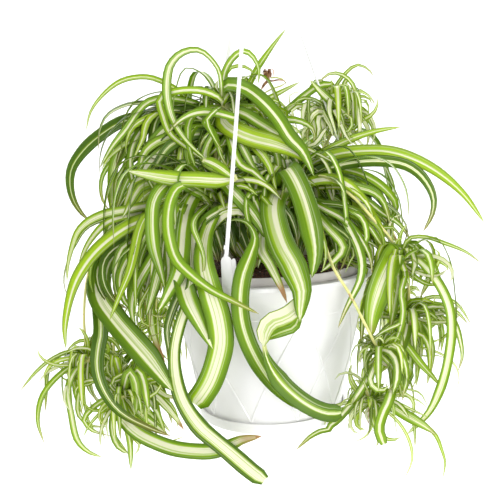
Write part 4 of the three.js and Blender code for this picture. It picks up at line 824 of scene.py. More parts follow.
# Their smaller leaves, also with no crown
plantletLeaves = {
    "topRight": [
        (5, "", -14, -6, [356, 128, 357, 112, 356, 97, 352, 85]),
        (5, "milky", -8, -4, [359, 134, 359, 120, 358, 106]),
        (5, "fresh", -16, -10, [352, 124, 353, 108, 351, 92, 347, 84, 341, 86]),
        (3, "", -24, -30, [357, 92, 365, 93, 371, 98, 375, 105]),
        (3, "milky", -22, -20, [360, 110, 368, 114, 374, 124, 375, 134, 372, 144, 368, 150]),
        (3, "", -20, -18, [360, 112, 366, 119, 368, 128, 364, 132]),
        (5, "milky", -18, -14, [358, 116, 366, 124, 369, 136, 366, 148]),
        (7, "milky", -28, 2, [324, 109, 318, 104, 321, 116, 324, 130, 325, 143]),
        (7, "milky", -28, 2, [326, 108, 319, 104, 323, 114, 330, 126, 333, 137]),
        (6, "milky", -28, 14, [343, 108, 340, 97, 332, 96, 329, 110, 333, 124, 337, 138]),
        (5, "under", -10, -2, [332, 100, 339, 110, 343, 120, 345, 132]),
        (6, "milky", -6, 0, [306, 104, 303, 112, 303, 122, 306, 132]),
        (4, "under", -4, 2, [309, 100, 309, 114, 309, 128, 308, 140]),
        (6, "milky", -8, -2, [312, 108, 313, 120, 315, 132, 314, 143]),
        (4, "pale", -10, -4, [300, 106, 292, 110, 294, 120, 298, 131]),
        (3, "", -12, -8, [302, 104, 288, 106, 288, 116, 293, 125]),
        (2, "milky", -20, -20, [300, 110, 290, 104, 290, 95, 296, 92, 302, 94]),
        (4, "", -8, 0, [338, 118, 346, 114, 352, 120, 350, 130, 342, 132, 339, 125, 344, 121]),
        (4, "lime", -24, 0, [340, 116, 340, 120, 346, 128, 350, 138]),
        (4, "under", -14, -6, [344, 96, 351, 102, 350, 112, 344, 118]),
        (4, "pale", -16, -10, [338, 94, 345, 92, 350, 98, 349, 108]),
        (5, "pale", -14, -14, [330, 104, 336, 96, 344, 92, 352, 96]),
        (5, "dry", -26, 4, [342, 120, 340, 126, 341, 137]),
        (6, "milky", -6, 0, [316, 112, 308, 124, 302, 136, 304, 146]),
        (5, "pale", -28, 2, [342, 122, 344, 128, 350, 138, 358, 146]),
        (5, "milky", -6, -4, [346, 130, 354, 138, 362, 144, 366, 152]),
        (6, "milky", -4, 4, [318, 118, 319, 130, 316, 142]),
        (5, "milky", -4, 2, [334, 110, 340, 122, 346, 136, 354, 146]),
        (5, "cut", 2, 6, [322, 134, 316, 143, 308, 146]),
    ],
    "rightUpper": [
        (9, "", 66, 74, [396, 258, 398, 280, 395, 302, 390, 331]),
        (6, "cream", 64, 70, [410, 250, 415, 262, 412, 276]),
        (6, "pale", 68, 74, [402, 264, 406, 275, 410, 286]),
        (5, "lime", 76, 78, [405, 278, 401, 290, 403, 306, 402, 326]),
        (6, "under", 60, 66, [386, 262, 374, 276, 366, 292, 362, 308]),
        (8, "under", 80, 84, [384, 272, 372, 290, 364, 312, 361, 346]),
        (7, "", 50, 48, [414, 254, 430, 262, 438, 278, 440, 296]),
    ],
    "rightMid": [
        (5, "bright", 50, 50, [424, 300, 432, 304, 433, 319, 427, 330]),
        (4, "", 88, 90, [396, 326, 386, 330, 373, 339, 361, 350]),
        (8, "lime", 52, 58, [400, 332, 412, 352, 424, 367, 434, 378, 441, 387]),
        (4, "", 48, 46, [408, 322, 416, 326, 420, 336, 421, 346, 416, 351]),
        (5, "bright", 54, 50, [412, 330, 423, 336, 429, 348, 430, 362, 428, 383]),
        (5, "", 44, 40, [414, 318, 425, 326, 431, 340, 433, 354, 431, 373]),
        (2.5, "pale", 40, 36, [420, 346, 434, 351, 446, 357, 456, 367, 459, 379, 456, 390, 450, 397]),
        (2, "", 36, 34, [412, 350, 424, 356, 440, 356, 450, 361]),
        (2.5, "", 44, 44, [414, 360, 418, 372, 414, 384, 410, 393]),
        (2.5, "under", 42, 42, [408, 372, 412, 388, 414, 402, 411, 413]),
        (5, "under", 76, 80, [384, 330, 372, 350, 368, 364, 373, 375]),
        (4, "cream", 50, 50, [404, 350, 403, 366, 404, 384]),
        (4, "", 56, 52, [420, 310, 436, 318, 440, 336, 438, 352]),
        (6, "", 50, 50, [398, 318, 408, 338, 416, 356, 418, 370]),
    ],
    "rightLow": [
        (5, "bright", 98, 100, [378, 354, 376, 364, 376, 377]),
        (10, "wide", 100, 98, [386, 350, 395, 358, 397, 376, 393, 394]),
        (6, "", 102, 98, [394, 346, 403, 358, 407, 378, 402, 398]),
        (4, "pale", 94, 92, [372, 362, 364, 370, 364, 382, 369, 392]),
        (6, "cream", 96, 98, [374, 368, 370, 378, 374, 388, 384, 390, 389, 385]),
        (5, "", 98, 96, [384, 358, 392, 366, 394, 380, 388, 392]),
        (5, "under", 94, 96, [372, 352, 366, 362, 367, 374, 372, 382]),
        (6, "under", 86, 84, [388, 360, 398, 370, 402, 384, 398, 400]),
    ],
    "lowerRight": [
        (2.5, "", 74, 66, [388, 397, 404, 396, 419, 401, 428, 409]),
        (3.5, "pale", 76, 68, [390, 400, 402, 405, 415, 411, 428, 417]),
        (2, "", 70, 62, [386, 392, 404, 389, 420, 393, 428, 407]),
        (3, "under", 72, 72, [376, 396, 366, 402, 362, 410, 368, 416]),
        (4, "dry", 76, 78, [370, 398, 363, 400, 359, 406]),
        (3, "dry", 74, 74, [372, 404, 366, 412, 369, 424]),
    ],
    "left": [
        (5, "", 10, 12, [88, 362, 87, 374, 89, 388, 95, 399]),
        (4, "pale", 16, 18, [92, 350, 78, 348, 66, 353]),
        (3.5, "", 18, 16, [94, 382, 82, 386, 72, 390]),
        (5, "lime", 14, 14, [78, 354, 76, 368, 78, 384, 81, 398]),
        (3, "", 20, 24, [104, 399, 96, 403, 89, 412, 85, 423]),
        (3, "", 6, 4, [84, 394, 92, 428, 103, 434, 112, 436]),
        (4, "under", 0, -4, [92, 366, 98, 380, 104, 392, 112, 400]),
        (3, "pale", 10, 8, [94, 396, 104, 406, 106, 424, 109, 440]),
        (4, "", -8, -10, [92, 344, 84, 340, 74, 344, 66, 352]),
    ],
    "leftLow": [
        (8, "wide", 28, 26, [118, 404, 113, 420, 114, 436, 120, 448, 130, 454]),
        (6, "", 34, 34, [124, 404, 129, 422, 133, 445]),
        (11, "wide", 46, 42, [130, 372, 135, 380, 137, 398, 136, 414]),
        (9, "wide", 44, 40, [138, 370, 143, 380, 146, 396, 149, 413]),
        (4, "bright", 36, 34, [112, 381, 120, 375, 132, 371, 140, 373]),
        (4, "", 34, 32, [110, 385, 122, 379, 132, 376, 138, 379]),
        (4, "lime", 22, 18, [118, 384, 108, 372, 108, 360, 118, 354, 126, 360]),
        (4, "under", 20, 16, [124, 380, 116, 366, 120, 352, 130, 350, 134, 360]),
        (4, "", 20, 14, [128, 384, 128, 370, 136, 360, 146, 364]),
        (4, "cream", 18, 14, [116, 386, 106, 380, 104, 368, 110, 362]),
        (5, "under", 12, 8, [136, 388, 148, 384, 158, 392, 161, 404]),
        (5, "lime", 14, 10, [140, 396, 152, 400, 158, 412, 160, 424]),
        (6, "pale", 8, 6, [146, 392, 156, 404, 160, 418, 171, 433]),
        (7, "dry", 12, 10, [150, 386, 166, 396, 180, 398]),
        (8, "dry", 14, 12, [152, 394, 166, 406, 176, 418, 184, 430]),
        (9, "under", -6, -10, [126, 380, 140, 372, 154, 378, 164, 394, 168, 414]),
        (9, "deep", -4, -8, [124, 392, 134, 404, 148, 412, 160, 424]),
        (8, "under", -8, -10, [112, 380, 104, 364, 106, 348, 116, 336]),
        (8, "under", -10, -12, [118, 376, 128, 358, 142, 346, 156, 344]),
        (6, "", 16, 14, [144, 396, 156, 410, 162, 424, 166, 436]),
        (7, "under", 2, -2, [146, 380, 156, 388, 166, 402, 172, 424]),
        (6, "under", 10, 8, [140, 384, 150, 366, 160, 354, 168, 360]),
        (7, "under", 4, 0, [134, 384, 140, 366, 150, 350, 160, 346]),
        (5, "lime", 10, 8, [152, 394, 168, 402, 176, 414, 178, 428]),
        (4, "pale", 30, 30, [128, 420, 134, 438, 140, 446, 134, 455]),
        (3, "", 20, 18, [140, 424, 152, 440, 170, 441, 185, 436]),
        (4, "", 10, 8, [120, 400, 108, 404, 100, 412, 102, 424]),
    ],
}

# Sprays of the plantlets in front, and thin leaves that curl
plantletSprays = {rule["root"]: rule for rule in named(sprayKeys, [
    ("rightUpper", (402, 262, 58), 5, 10, (-40, 56), (6, 26), (0, 60), (30, 70), (4, 9)),
    ("rightMid", (408, 315, 46), 5, 10, (-36, 44), (6, 26), (10, 80), (30, 60), (4, 8)),
    ("rightLow", (380, 352, 92), 5, 9, (-6, 40), (4, 16), (10, 60), (70, 104), (4, 8)),
    ("lowerRight", (371, 402, 72), 4, 8, (-20, 60), (4, 14), (10, 60), (50, 90), (3, 6)),
    ("left", (88, 360, 6), 5, 12, (-40, 60), (6, 30), (-20, 70), (-30, 30), (3, 6)),
    ("leftLow", (122, 396, 26), 5, 26, (-30, 64), (8, 40), (-30, 50), (-10, 40), (4, 8)),
    ("topRight", (335, 118, -20), 8, 10, (-40, 36), (14, 40), (-16, 30), (-60, -30), (4, 7)),
])}
plantletCurls = {
    "topRight": {"leaves": 34, "size": (4, 8), "bend": (0.3, 0.8)},
    "rightLow": {"leaves": 10, "size": (2, 4), "bend": (0.3, 0.8)},
    "other": {"leaves": 18, "size": (4, 9), "bend": (0.1, 0.6)},
}

# Runners: crown or plantlet they grow from, what reads their places, and the places up to the plantlet
runners = {
    "topRight": ("right", seen, [(305, 172, 0), (322, 150, -20), (332, 132, -30)]),
    "rightUpper": ("right", seen, [(322, 176, 50), (352, 196, 58), (374, 220, 62), (390, 238, 61)]),
    "rightMid": ("right", seen, [(330, 184, 6), (378, 210, 10), (404, 262, 24), (409, 292, 38)]),
    "rightLow": ("right", seen, [(314, 206, 42), (322, 228, 68), (326, 247, 88), (334, 269, 106),
        (349, 293, 102), (362, 318, 98), (373, 340, 94)]),
    "left": ("left", seen, [(175, 195, -16), (125, 215, -26), (92, 262, -24), (84, 315, -8)]),
    "leftLow": ("left", seen, [(182, 206, -4), (142, 230, -10), (116, 290, -4), (114, 350, 14)]),
    "rearLeft": ("rear", fromRim, [(-50, 88, 78), (-96, 110, 40), (-122, 106, -20)]),
    "rearMid": ("rear", fromRim, [(0, 92, 84), (-6, 134, 50), (-12, 152, -30)]),
    "rearRight": ("rear", fromRim, [(50, 84, 74), (94, 104, 44), (118, 102, -10)]),
    "lowerRight": ("plantletRightLow", seen, [(371, 372, 82), (366, 388, 70)]),
}

dryFlower = {
    "at": seen(268, 78, -26), "radius": 2.6, "petals": 13, "petalReach": (2.6, 4.2, 5.8), "petalWidth": 3.4,
    "petalRise": (4, 5.7, 7.4, 9.1), "petalDroop": 0.5, "stalkRadius": 0.8,
    "stalk": [seen(250, 100, -20), seen(272, 89, -28), seen(286, 83, -30), seen(280, 78, -28)],
    "twigs": [(1.8, [271, 81, 278, 80, 286, 81]), (3, [268, 80, 264, 85, 261, 90])],
    "twigNear": -26, "twigFar": -28, "bud": [0.8, 2.2, 0.8], "budLow": 2.5, "budHigh": 2, "budSteps": 6,
}


def ruleLeaf(root, azimuth, reach, rise, droop, steps=5):
    # rises, arches out and hangs; returns its places and the level direction across it
    turn = math.radians(azimuth)
    outward = Vector((math.sin(turn), -math.cos(turn), 0))
    points = []
    for step in range(steps + 1):
        share = step / steps
        lift = rise * (2 * share / droop - (share / droop) ** 2)
        points.append(root + outward * (reach * mm * (1 - (1 - share) ** 2)) + Vector((0, 0, lift * mm)))
    return points, Vector((-outward.y, outward.x, 0))


def addRosette(skeleton, rule, draw):
    first, last = rule["azimuth"]
    for i in range(rule["leaves"]):
        azimuth = first + (last - first) * (i + draw(foliage["rosetteShare"])) / rule["leaves"]
        reach, rise, droop, width = [draw(rule[key]) for key in ("reach", "rise", "droop", "width")]
        points, level = ruleLeaf(crowns[rule["crown"]], azimuth, reach, rise, droop)
        if i not in rule.get("skip", ()):
            skeleton.addLeaf(points, width, pick(rosetteStyles, looksDraw), level=level)


# How the leaves of a spray differ: the ways they face, hang, sway, twist, and hook back near the tip
sprayLook = {
    "styles": ("", "wide", "lime", "bright", "under", "lime", ""), "steps": 7, "flatness": 0.6,
    "lean": (-0.7, 0.7), "tilt": (0, 1.2), "hang": (1.1, 2.6), "reach": (1.2, 2.2), "fullSize": 150,
    "sway": (-9, 9), "hook": (-34, 34), "hookStart": 0.62, "hookStrength": 7, "twist": (-1.3, 1.3),
    "drag": 0.4, "forward": 0.8,
}


def addSpray(skeleton, rule, root, draw):
    x, y, near = rule["at"]
    for _ in range(rule["leaves"]):
        startX = x + draw((-1, 1)) * rule["round"]
        startY = y + draw((-1, 1)) * rule["round"] * sprayLook["flatness"]
        side, lift, drop, toward, width = [draw(rule[k]) for k in ("side", "lift", "drop", "toward", "width")]
        facing = Vector((draw(sprayLook["lean"]), -1, draw(sprayLook["tilt"]))).normalized()
        hang, reach = draw(sprayLook["hang"]), draw(sprayLook["reach"])
        style = pick(sprayLook["styles"], draw)
        size = (abs(side) + abs(drop)) / sprayLook["fullSize"]
        sway, hook = draw(sprayLook["sway"]) * size, max(draw(sprayLook["hook"]), 0) * size
        twist = draw(sprayLook["twist"])
        places = []
        for step in range(sprayLook["steps"] + 1):
            share = step / sprayLook["steps"]
            bend = sway * math.sin(share * 2 * math.pi)
            curl = hook * max(share - sprayLook["hookStart"], 0) ** 2 * sprayLook["hookStrength"]
            places.append((
                startX + side * (1 - (1 - share) ** reach) + bend - math.copysign(curl, side) + draw((-1, 1)),
                startY - lift * 4 * share * (1 - share) + drop * share ** hang
                + bend * sprayLook["drag"] - curl * sprayLook["drag"],
                near + (toward - near) * share ** sprayLook["forward"]))
        if not any(bareWall["left"] < px < bareWall["right"] and bareWall["top"] < py < bareWall["bottom"]
                   for px, py, _ in places):
            route = [root] + [seen(*place) for place in places]
            skeleton.addLeaf(route, width, style, facing=facing, twist=twist)


def addRunners(skeleton, name, start):
    for plantlet, (grower, reader, places) in runners.items():
        if grower == name:
            addRunner(skeleton, start, [reader(*place) for place in places], plantlets[plantlet]["at"],
                      foliage["plantletCrown"], foliage["runnerRadius"])


def addRunner(skeleton, start, between, end, crownRadius, radius):
    route = [start, *between, end]
    _, length = evenPath(route, foliage["leastSteps"])
    reach = 1 - (crownRadius + foliage["runnerGap"]) * mm / length
    steps = max(foliage["leastSteps"], int(length / mm / foliage["runnerStep"]))
    skeleton.addTube(route, [radius, radius], runnerKind, steps, reach, foliage["runnerMargin"])


def seenPlaces(numbers):
    return [seen(*place) for place in zip(numbers[::3], numbers[1::3], numbers[2::3])]


def seenLeaf(skeleton, root, width, style, near, far, numbers):
    spots = list(zip(numbers[::2], numbers[1::2]))
    places = [seen(x, y, near + (far - near) * i / (len(spots) - 1)) for i, (x, y) in enumerate(spots)]
    skeleton.addLeaf([root] + places, width, style, facing=foliage["seenFacing"],
                     twist=looksDraw(foliage["smallTwist"]))


# The short stems under the crowns, and the sheaths of leaf bases round them
crownLook = {
    "footShare": 0.3, "footHeight": 4, "radii": [9, 6, 7, 2], "slimRadii": [3, 3], "steps": 10, "sheaths": 14,
    "out": (12, 30), "rise": (6, 26), "reach": (14, 34), "fall": (0, 22), "width": (8, 13),
    "rootRadius": 12, "bulge": 9, "tilt": 0.6,
}


def addSheaths(skeleton, foot, crown, draw):
    for i in range(crownLook["sheaths"]):
        turn = math.radians(i * foliage["goldenAngle"])
        side = Vector((math.sin(turn), -math.cos(turn), 0))
        lean = crown + side * draw(crownLook["out"]) * mm + Vector((0, 0, draw(crownLook["rise"]) * mm))
        tip = lean + side * draw(crownLook["reach"]) * mm - Vector((0, 0, draw(crownLook["fall"]) * mm))
        start = foot + side * (crownLook["rootRadius"] * mm)
        middle = start.lerp(crown, 0.5) + side * (crownLook["bulge"] * mm)
        facing = (side * -1 + Vector((0, 0, crownLook["tilt"]))).normalized()
        skeleton.addLeaf([start, middle, lean, tip], draw(crownLook["width"]), "pale", facing=facing)


def motherSkeleton(fillDraw):
    skeleton = Skeleton()
    draw = drawsFrom(foliage["motherSeed"])
    for name, crown in crowns.items():
        slim = name == "high"
        share = crownLook["footShare"]
        foot = Vector((crown.x * share, crown.y * share, rimZ + crownLook["footHeight"] * mm))
        if slim:  # this one grows on from the left crown
            foot = crowns["left"]
        radii = crownLook["slimRadii"] if slim else crownLook["radii"]
        skeleton.addTube([foot, foot.lerp(crown, 0.5), crown], radii, runnerKind, crownLook["steps"])
        if not slim:
            addSheaths(skeleton, foot, crown, fillDraw)
    for crown, width, style, route in motherLeaves.values():  # with no crown, the leaf goes on from another
        root = [crowns[crown]] if crown else []
        skeleton.addLeaf(root + seenPlaces(route), width, style, facing=foliage["seenFacing"],
                         twist=looksDraw(foliage["longTwist"]))
    for crown, *leaf in innerLeaves:
        seenLeaf(skeleton, crowns[crown], *leaf)
    for rule in rosettes:
        addRosette(skeleton, rule, draw)
    for name, crown in crowns.items():
        addRunners(skeleton, name, crown)
    addRunner(skeleton, crowns["high"], dryFlower["stalk"], dryFlower["at"], dryFlower["radius"],
              dryFlower["stalkRadius"])
    return skeleton


def fillSkeleton(fillDraw):
    skeleton = Skeleton()
    for rule in fillRosettes:
        addRosette(skeleton, rule, fillDraw)
    for rule in sprays:
        addSpray(skeleton, rule, crowns[rule["root"]], fillDraw)
    return skeleton


curlLook = {
    "steps": 8, "width": (3, 5.5), "ahead": 0.6, "firstTurn": 0.3, "turnGrowth": 0.14, "shrink": 0.95,
    "styles": ("pale", "milky", "lime"), "facing": (-0.8, 0.8),
}


def addCurls(skeleton, at, rule, draw):
    # thin leaves that roll up as they grow
    right, up, ahead = viewAxes()
    for i in range(rule["leaves"]):
        turn, bend = draw((0, 2 * math.pi)), draw(rule["bend"]) * (1 if i % 2 else -1)
        size, width, lean = draw(rule["size"]) * mm, draw(curlLook["width"]), draw((-1, 1))
        place, points = at.copy(), [at.copy()]
        for step in range(curlLook["steps"]):
            way = right * math.cos(turn) + up * math.sin(turn) + ahead * lean * curlLook["ahead"]
            place = place + way * size
            points.append(place.copy())
            turn += bend * (curlLook["firstTurn"] + step * curlLook["turnGrowth"])
            size *= curlLook["shrink"]
        style = curlLook["styles"][i % len(curlLook["styles"])]
        facing = Vector((draw(curlLook["facing"]), -1, draw((0, 1)))).normalized()
        skeleton.addLeaf(points, width, style, facing=facing)


plantletLook = {
    "stemRadii": [2, 4.6, 2.4], "stemSteps": 8, "styles": ("", "pale", "bright", "wide"),
    "innerLeaves": 14, "innerStyles": ("", "pale", "bright"), "rootRadii": [1.3, 1.2, 0.9, 0.3],
    "rootPlaces": [(5, 7), (7, 15)], "rootSteps": 8,
}
innerRule = {"azimuth": (0, 360), "reach": (8, 34), "rise": (5, 16), "droop": (0.34, 0.6), "width": (3, 6)}


def plantletSkeleton(name, rule, draw, fillDraw):
    skeleton = Skeleton()
    at = rule["at"]
    lift = Vector((0, 0, foliage["plantletCrown"] * mm))
    skeleton.addTube([at - lift, at, at + lift], plantletLook["stemRadii"], runnerKind,
                     plantletLook["stemSteps"])
    addRunners(skeleton, "plantlet" + name[0].upper() + name[1:], at)
    for width, style, route in plantletLongLeaves.get(name, []):
        skeleton.addLeaf([at] + seenPlaces(route), width, style, facing=foliage["seenFacing"])
    for leaf in plantletLeaves.get(name, []):
        seenLeaf(skeleton, at, *leaf)
    first = draw((0, 360))
    for i in range(rule["leaves"]):
        reach, rise, droop, width = [
            draw(span) for span in (rule["reach"], rule["rise"], foliage["plantletDroop"], rule["width"])]
        droop *= rule.get("upturn", 1)
        points, level = ruleLeaf(at, first + i * foliage["goldenAngle"], reach, rise, droop)
        if i not in rule["skip"]:
            style = plantletLook["styles"][i % len(plantletLook["styles"])]
            skeleton.addLeaf(points, width, style, level=level)
    for i in range(plantletLook["innerLeaves"]):
        azimuth, reach, rise, droop, width = [fillDraw(span) for span in innerRule.values()]
        points, level = ruleLeaf(at, azimuth, reach, rise, droop)
        style = plantletLook["innerStyles"][i % len(plantletLook["innerStyles"])]
        skeleton.addLeaf(points, width, style, level=level)
    if name in plantletSprays:
        addSpray(skeleton, plantletSprays[name], at, fillDraw)
    addCurls(skeleton, at, plantletCurls.get(name, plantletCurls["other"]), fillDraw)
    for i in range(rule.get("roots", foliage["roots"])):
        turn = i / foliage["roots"] * 2 * math.pi + first
        side = Vector((math.cos(turn), math.sin(turn), 0)) * mm
        places = [at + side * out - Vector((0, 0, down * mm)) for out, down in plantletLook["rootPlaces"]]
        skeleton.addTube([at] + places, plantletLook["rootRadii"], rootKind, plantletLook["rootSteps"])
    return skeleton


socketKinds = {int: "NodeSocketInt", float: "NodeSocketFloat", type(None): "NodeSocketMaterial"}


def newTree(name, sizes):
    # a tree with a geometry in and out, and named inputs: name -> value, or None for a material
    tree = bpy.data.node_groups.new(name, "GeometryNodeTree")
    tree.interface.new_socket("Geometry", in_out="INPUT", socket_type="NodeSocketGeometry")
    for key, value in sizes.items():
        socket = tree.interface.new_socket(key, in_out="INPUT", socket_type=socketKinds[type(value)])
        if value is not None:
            socket.default_value = value
    tree.interface.new_socket("Geometry", in_out="OUTPUT", socket_type="NodeSocketGeometry")
    start = tree.nodes.new("NodeGroupInput")
    end = tree.nodes.new("NodeGroupOutput")
    return tree, start.outputs, end.inputs["Geometry"]


def namedValue(tree, name, kind="FLOAT"):
    node = addNode(tree, "GeometryNodeInputNamedAttribute", {"data_type": kind}, {"Name": name})
    return node.outputs["Attribute"]


def changed(tree, kind, geometry, inputs=None, settings=None):
    # a node that takes a geometry and gives it back changed
    return addNode(tree, "GeometryNode" + kind, settings, {"Geometry": geometry, **(inputs or {})}).outputs[0]


def joined(tree, *parts):
    node = addNode(tree, "GeometryNodeJoinGeometry")
    for part in parts:
        tree.links.new(part, node.inputs[0])
    return node.outputs[0]


def indexOf(tree):
    return addNode(tree, "GeometryNodeInputIndex").outputs[0]


def vectorMath(tree, operation, first, second):
    key = "Scale" if operation == "SCALE" else 1
    return addNode(tree, "ShaderNodeVectorMath", {"operation": operation}, {0: first, key: second}).outputs[0]


def roundSection(tree, sides, alongNormal, alongSide):
    # a closed section; alongNormal and alongSide take (cosine, sine) and give the place of each corner
    circle = addNode(tree, "GeometryNodeCurvePrimitiveCircle", None, {"Resolution": sides, "Radius": 1.0})
    turn = mathNode(tree, "DIVIDE", product(tree, indexOf(tree), 2 * math.pi), sides)
    cosine, sine = mathNode(tree, "COSINE", turn), mathNode(tree, "SINE", turn)
    place = placeOf(tree, alongNormal(cosine, sine), alongSide(cosine, sine))
    moved = changed(tree, "SetPosition", circle.outputs["Curve"], {"Position": place})
    return changed(tree, "StoreNamedAttribute", moved, {"Name": "across", "Value": cosine},
                   {"data_type": "FLOAT", "domain": "POINT"})


def sweptAlong(tree, mesh, normal, inputs):
    # the edges of the mesh, each made a tube with these normals
    curve = addNode(tree, "GeometryNodeMeshToCurve", None, {"Mesh": mesh}).outputs[0]
    curve = addNode(tree, "GeometryNodeSetCurveNormal", {"mode": "FREE"}, {"Curve": curve, "Normal": normal})
    return addNode(tree, "GeometryNodeCurveToMesh", None,
                   {"Curve": curve.outputs[0], "Fill Caps": True, **inputs}).outputs[0]


def foliageTree():
    tree, given, result = newTree("foliageFromMidribs", {
        "Section Points": foliage["sectionPoints"],
        "Channel Depth": foliage["channelDepth"],
        "Blade Thickness": foliage["bladeThickness"],
        "Wave Height": foliage["waveHeight"],
        "Runner Sides": foliage["runnerSides"],
        "Leaf Material": None, "Runner Material": None, "Root Material": None,
    })
    size, facing = namedValue(tree, "size"), namedValue(tree, "facing", "FLOAT_VECTOR")

    def channel(cosine, sine):
        depth = mathNode(tree, "POWER", mathNode(tree, "ABSOLUTE", cosine), foliage["channelPower"])
        return mathNode(tree, "MULTIPLY_ADD", depth, given["Channel Depth"],
                        product(tree, sine, given["Blade Thickness"]))

    blade = roundSection(tree, given["Section Points"], channel, lambda cosine, sine: cosine)
    bar = roundSection(tree, given["Runner Sides"], lambda cosine, sine: sine, lambda cosine, sine: cosine)

    def swept(kind, section):
        chosen = addNode(tree, "FunctionNodeCompare", {"data_type": "INT", "operation": "EQUAL"},
                         {2: namedValue(tree, "kind", "INT"), 3: kind}).outputs[0]
        part = changed(tree, "SeparateGeometry", given["Geometry"], {"Selection": chosen},
                       {"domain": "POINT"})
        return sweptAlong(tree, part, facing, {"Profile Curve": section, "Scale": size})

    # the edges of a blade rise and fall along it, each side by itself
    across = namedValue(tree, "across")
    phase = product(tree, namedValue(tree, "chance"), foliage["wavePhase"])
    side = mathNode(tree, "MULTIPLY_ADD", mathNode(tree, "SIGN", across), foliage["waveShift"], phase)
    turns = product(tree, namedValue(tree, "along"), namedValue(tree, "waves"))
    wave = mathNode(tree, "SINE", mathNode(tree, "MULTIPLY_ADD", turns, 2 * math.pi, side))
    atEdge = product(tree, wave, product(tree, across, across))
    lift = product(tree, atEdge, product(tree, size, given["Wave Height"]))
    blades = changed(tree, "SetPosition", swept(leafKind, blade),
                     {"Offset": vectorMath(tree, "SCALE", facing, lift)})
    parts = []
    for part, look in ((blades, "Leaf Material"), (swept(runnerKind, bar), "Runner Material"),
                       (swept(rootKind, bar), "Root Material")):
        whole = changed(tree, "RealizeInstances", part)
        parts.append(changed(tree, "SetMaterial", whole, {"Material": given[look]}))
    tree.links.new(changed(tree, "SetShadeSmooth", joined(tree, *reversed(parts))), result)
    return tree


def withTree(piece, tree, inputs):
    # runs the tree on the piece and keeps the result as a plain mesh
    modifier = piece.modifiers.new(tree.name, "NODES")
    modifier.node_group = tree
    for item in tree.interface.items_tree:
        if item.item_type == "SOCKET" and item.in_out == "INPUT" and item.name in inputs:
            modifier[item.identifier] = inputs[item.name]
    return flattened(piece)


def flattened(piece):
    evaluated = piece.evaluated_get(bpy.context.evaluated_depsgraph_get())
    mesh = bpy.data.meshes.new_from_object(evaluated)
    old = piece.data
    piece.modifiers.clear()
    piece.data = mesh
    mesh.name = piece.name
    bpy.data.meshes.remove(old)
    return piece


def place(piece, slot, *nodes):
    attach(piece, "root")
    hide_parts(*nodes)


bladeTree = foliageTree()


def addFoliage(name, skeleton, leafSkin, slot, node, sectionPoints=foliage["sectionPoints"]):
    piece = withTree(skeleton.toObject(name), bladeTree, {
        "Section Points": sectionPoints, "Leaf Material": leafSkin, "Runner Material": runnerSkin,
        "Root Material": rootSkin})
    place(piece, slot, node)


motherDraw = drawsFrom(foliage["fillSeed"])
addFoliage("motherPlant", motherSkeleton(motherDraw), matureLeaf, "leaf", "mother_plant")
addFoliage("motherInnerLeaves", fillSkeleton(motherDraw), matureLeaf, "leaf", "mother_plant",
           foliage["fillSectionPoints"])
print("mother plant grown")

plantletDraw = drawsFrom(foliage["plantletSeed"])
innerDraw = drawsFrom(foliage["fillSeed"] + 1)
plantletNodes = {name: "plantlet_" + "".join("_" + c.lower() if c.isupper() else c for c in name)
                 for name in plantlets}
for name, rule in plantlets.items():
    skeleton = plantletSkeleton(name, rule, plantletDraw, innerDraw)
    addFoliage("plantlet" + name[0].upper() + name[1:], skeleton, youngLeaf, "plantlet", plantletNodes[name])
print("plantlets grown:", len(plantlets))


def flowerSkeleton():
    skeleton = Skeleton()
    at, reaches, rises = [dryFlower[key] for key in ("at", "petalReach", "petalRise")]
    for i in range(dryFlower["petals"]):
        points, level = ruleLeaf(at, i * foliage["goldenAngle"], reaches[i % len(reaches)],
                                 rises[i % len(rises)], dryFlower["petalDroop"])
        skeleton.addLeaf(points, dryFlower["petalWidth"], "dry", level=level)
    for width, route in dryFlower["twigs"]:
        seenLeaf(skeleton, at, width, "dry", dryFlower["twigNear"], dryFlower["twigFar"], route)
    low, high = Vector((0, 0, dryFlower["budLow"] * mm)), Vector((0, 0, dryFlower["budHigh"] * mm))
    skeleton.addTube([at - low, at, at + high], dryFlower["bud"], rootKind, dryFlower["budSteps"])
    return skeleton


addFoliage("dryFlower", flowerSkeleton(), dryPetal, "dry", "dry_flower")

# Turned pieces: pot, inner pot, saucer; profiles are (radius, height from the rim)

turnedLook = {"sides": 176, "cornerRadius": 0.9, "cornerSteps": 3, "mostOfEdge": 0.4,
              "sharpAngle": math.radians(50)}


def roundedProfile(profile, radius):
    rounded = [Vector(profile[0])]
    for before, corner, after in zip(profile, profile[1:], profile[2:]):
        before, corner, after = Vector(before), Vector(corner), Vector(after)
        near = min([radius] + [(end - corner).length * turnedLook["mostOfEdge"] for end in (before, after)])
        start = corner + (before - corner).normalized() * near
        end = corner + (after - corner).normalized() * near
        for i in range(turnedLook["cornerSteps"] + 1):
            t = i / turnedLook["cornerSteps"]
            rounded.append(start * (1 - t) ** 2 + corner * 2 * t * (1 - t) + end * t * t)
    rounded.append(Vector(profile[-1]))
    return rounded


def meshObject(name, points, faces, material):
    mesh = bpy.data.meshes.new(name)
    mesh.from_pydata([tuple(p) for p in points], [], faces)
    mesh.materials.append(material)
    mesh.shade_smooth()
    mesh.set_sharp_from_angle(angle=turnedLook["sharpAngle"])
    return newObject(name, mesh)


def ringPoints(radius, height, sides):
    turns = [side / sides * 2 * math.pi for side in range(sides)]
    return [fromRim(radius * math.cos(turn), radius * math.sin(turn), height) for turn in turns]


def ringFaces(rings, sides):
    # the faces between rings of points, and to a point on the axis before them and one after them
    faces = []
    for side in range(sides):
        after = (side + 1) % sides
        faces.append((0, 1 + after, 1 + side))
        for ring in range(rings - 1):
            low, high = 1 + ring * sides, 1 + (ring + 1) * sides
            faces.append((low + side, low + after, high + after, high + side))
        last = 1 + (rings - 1) * sides
        faces.append((last + side, last + after, last + sides))
    return faces


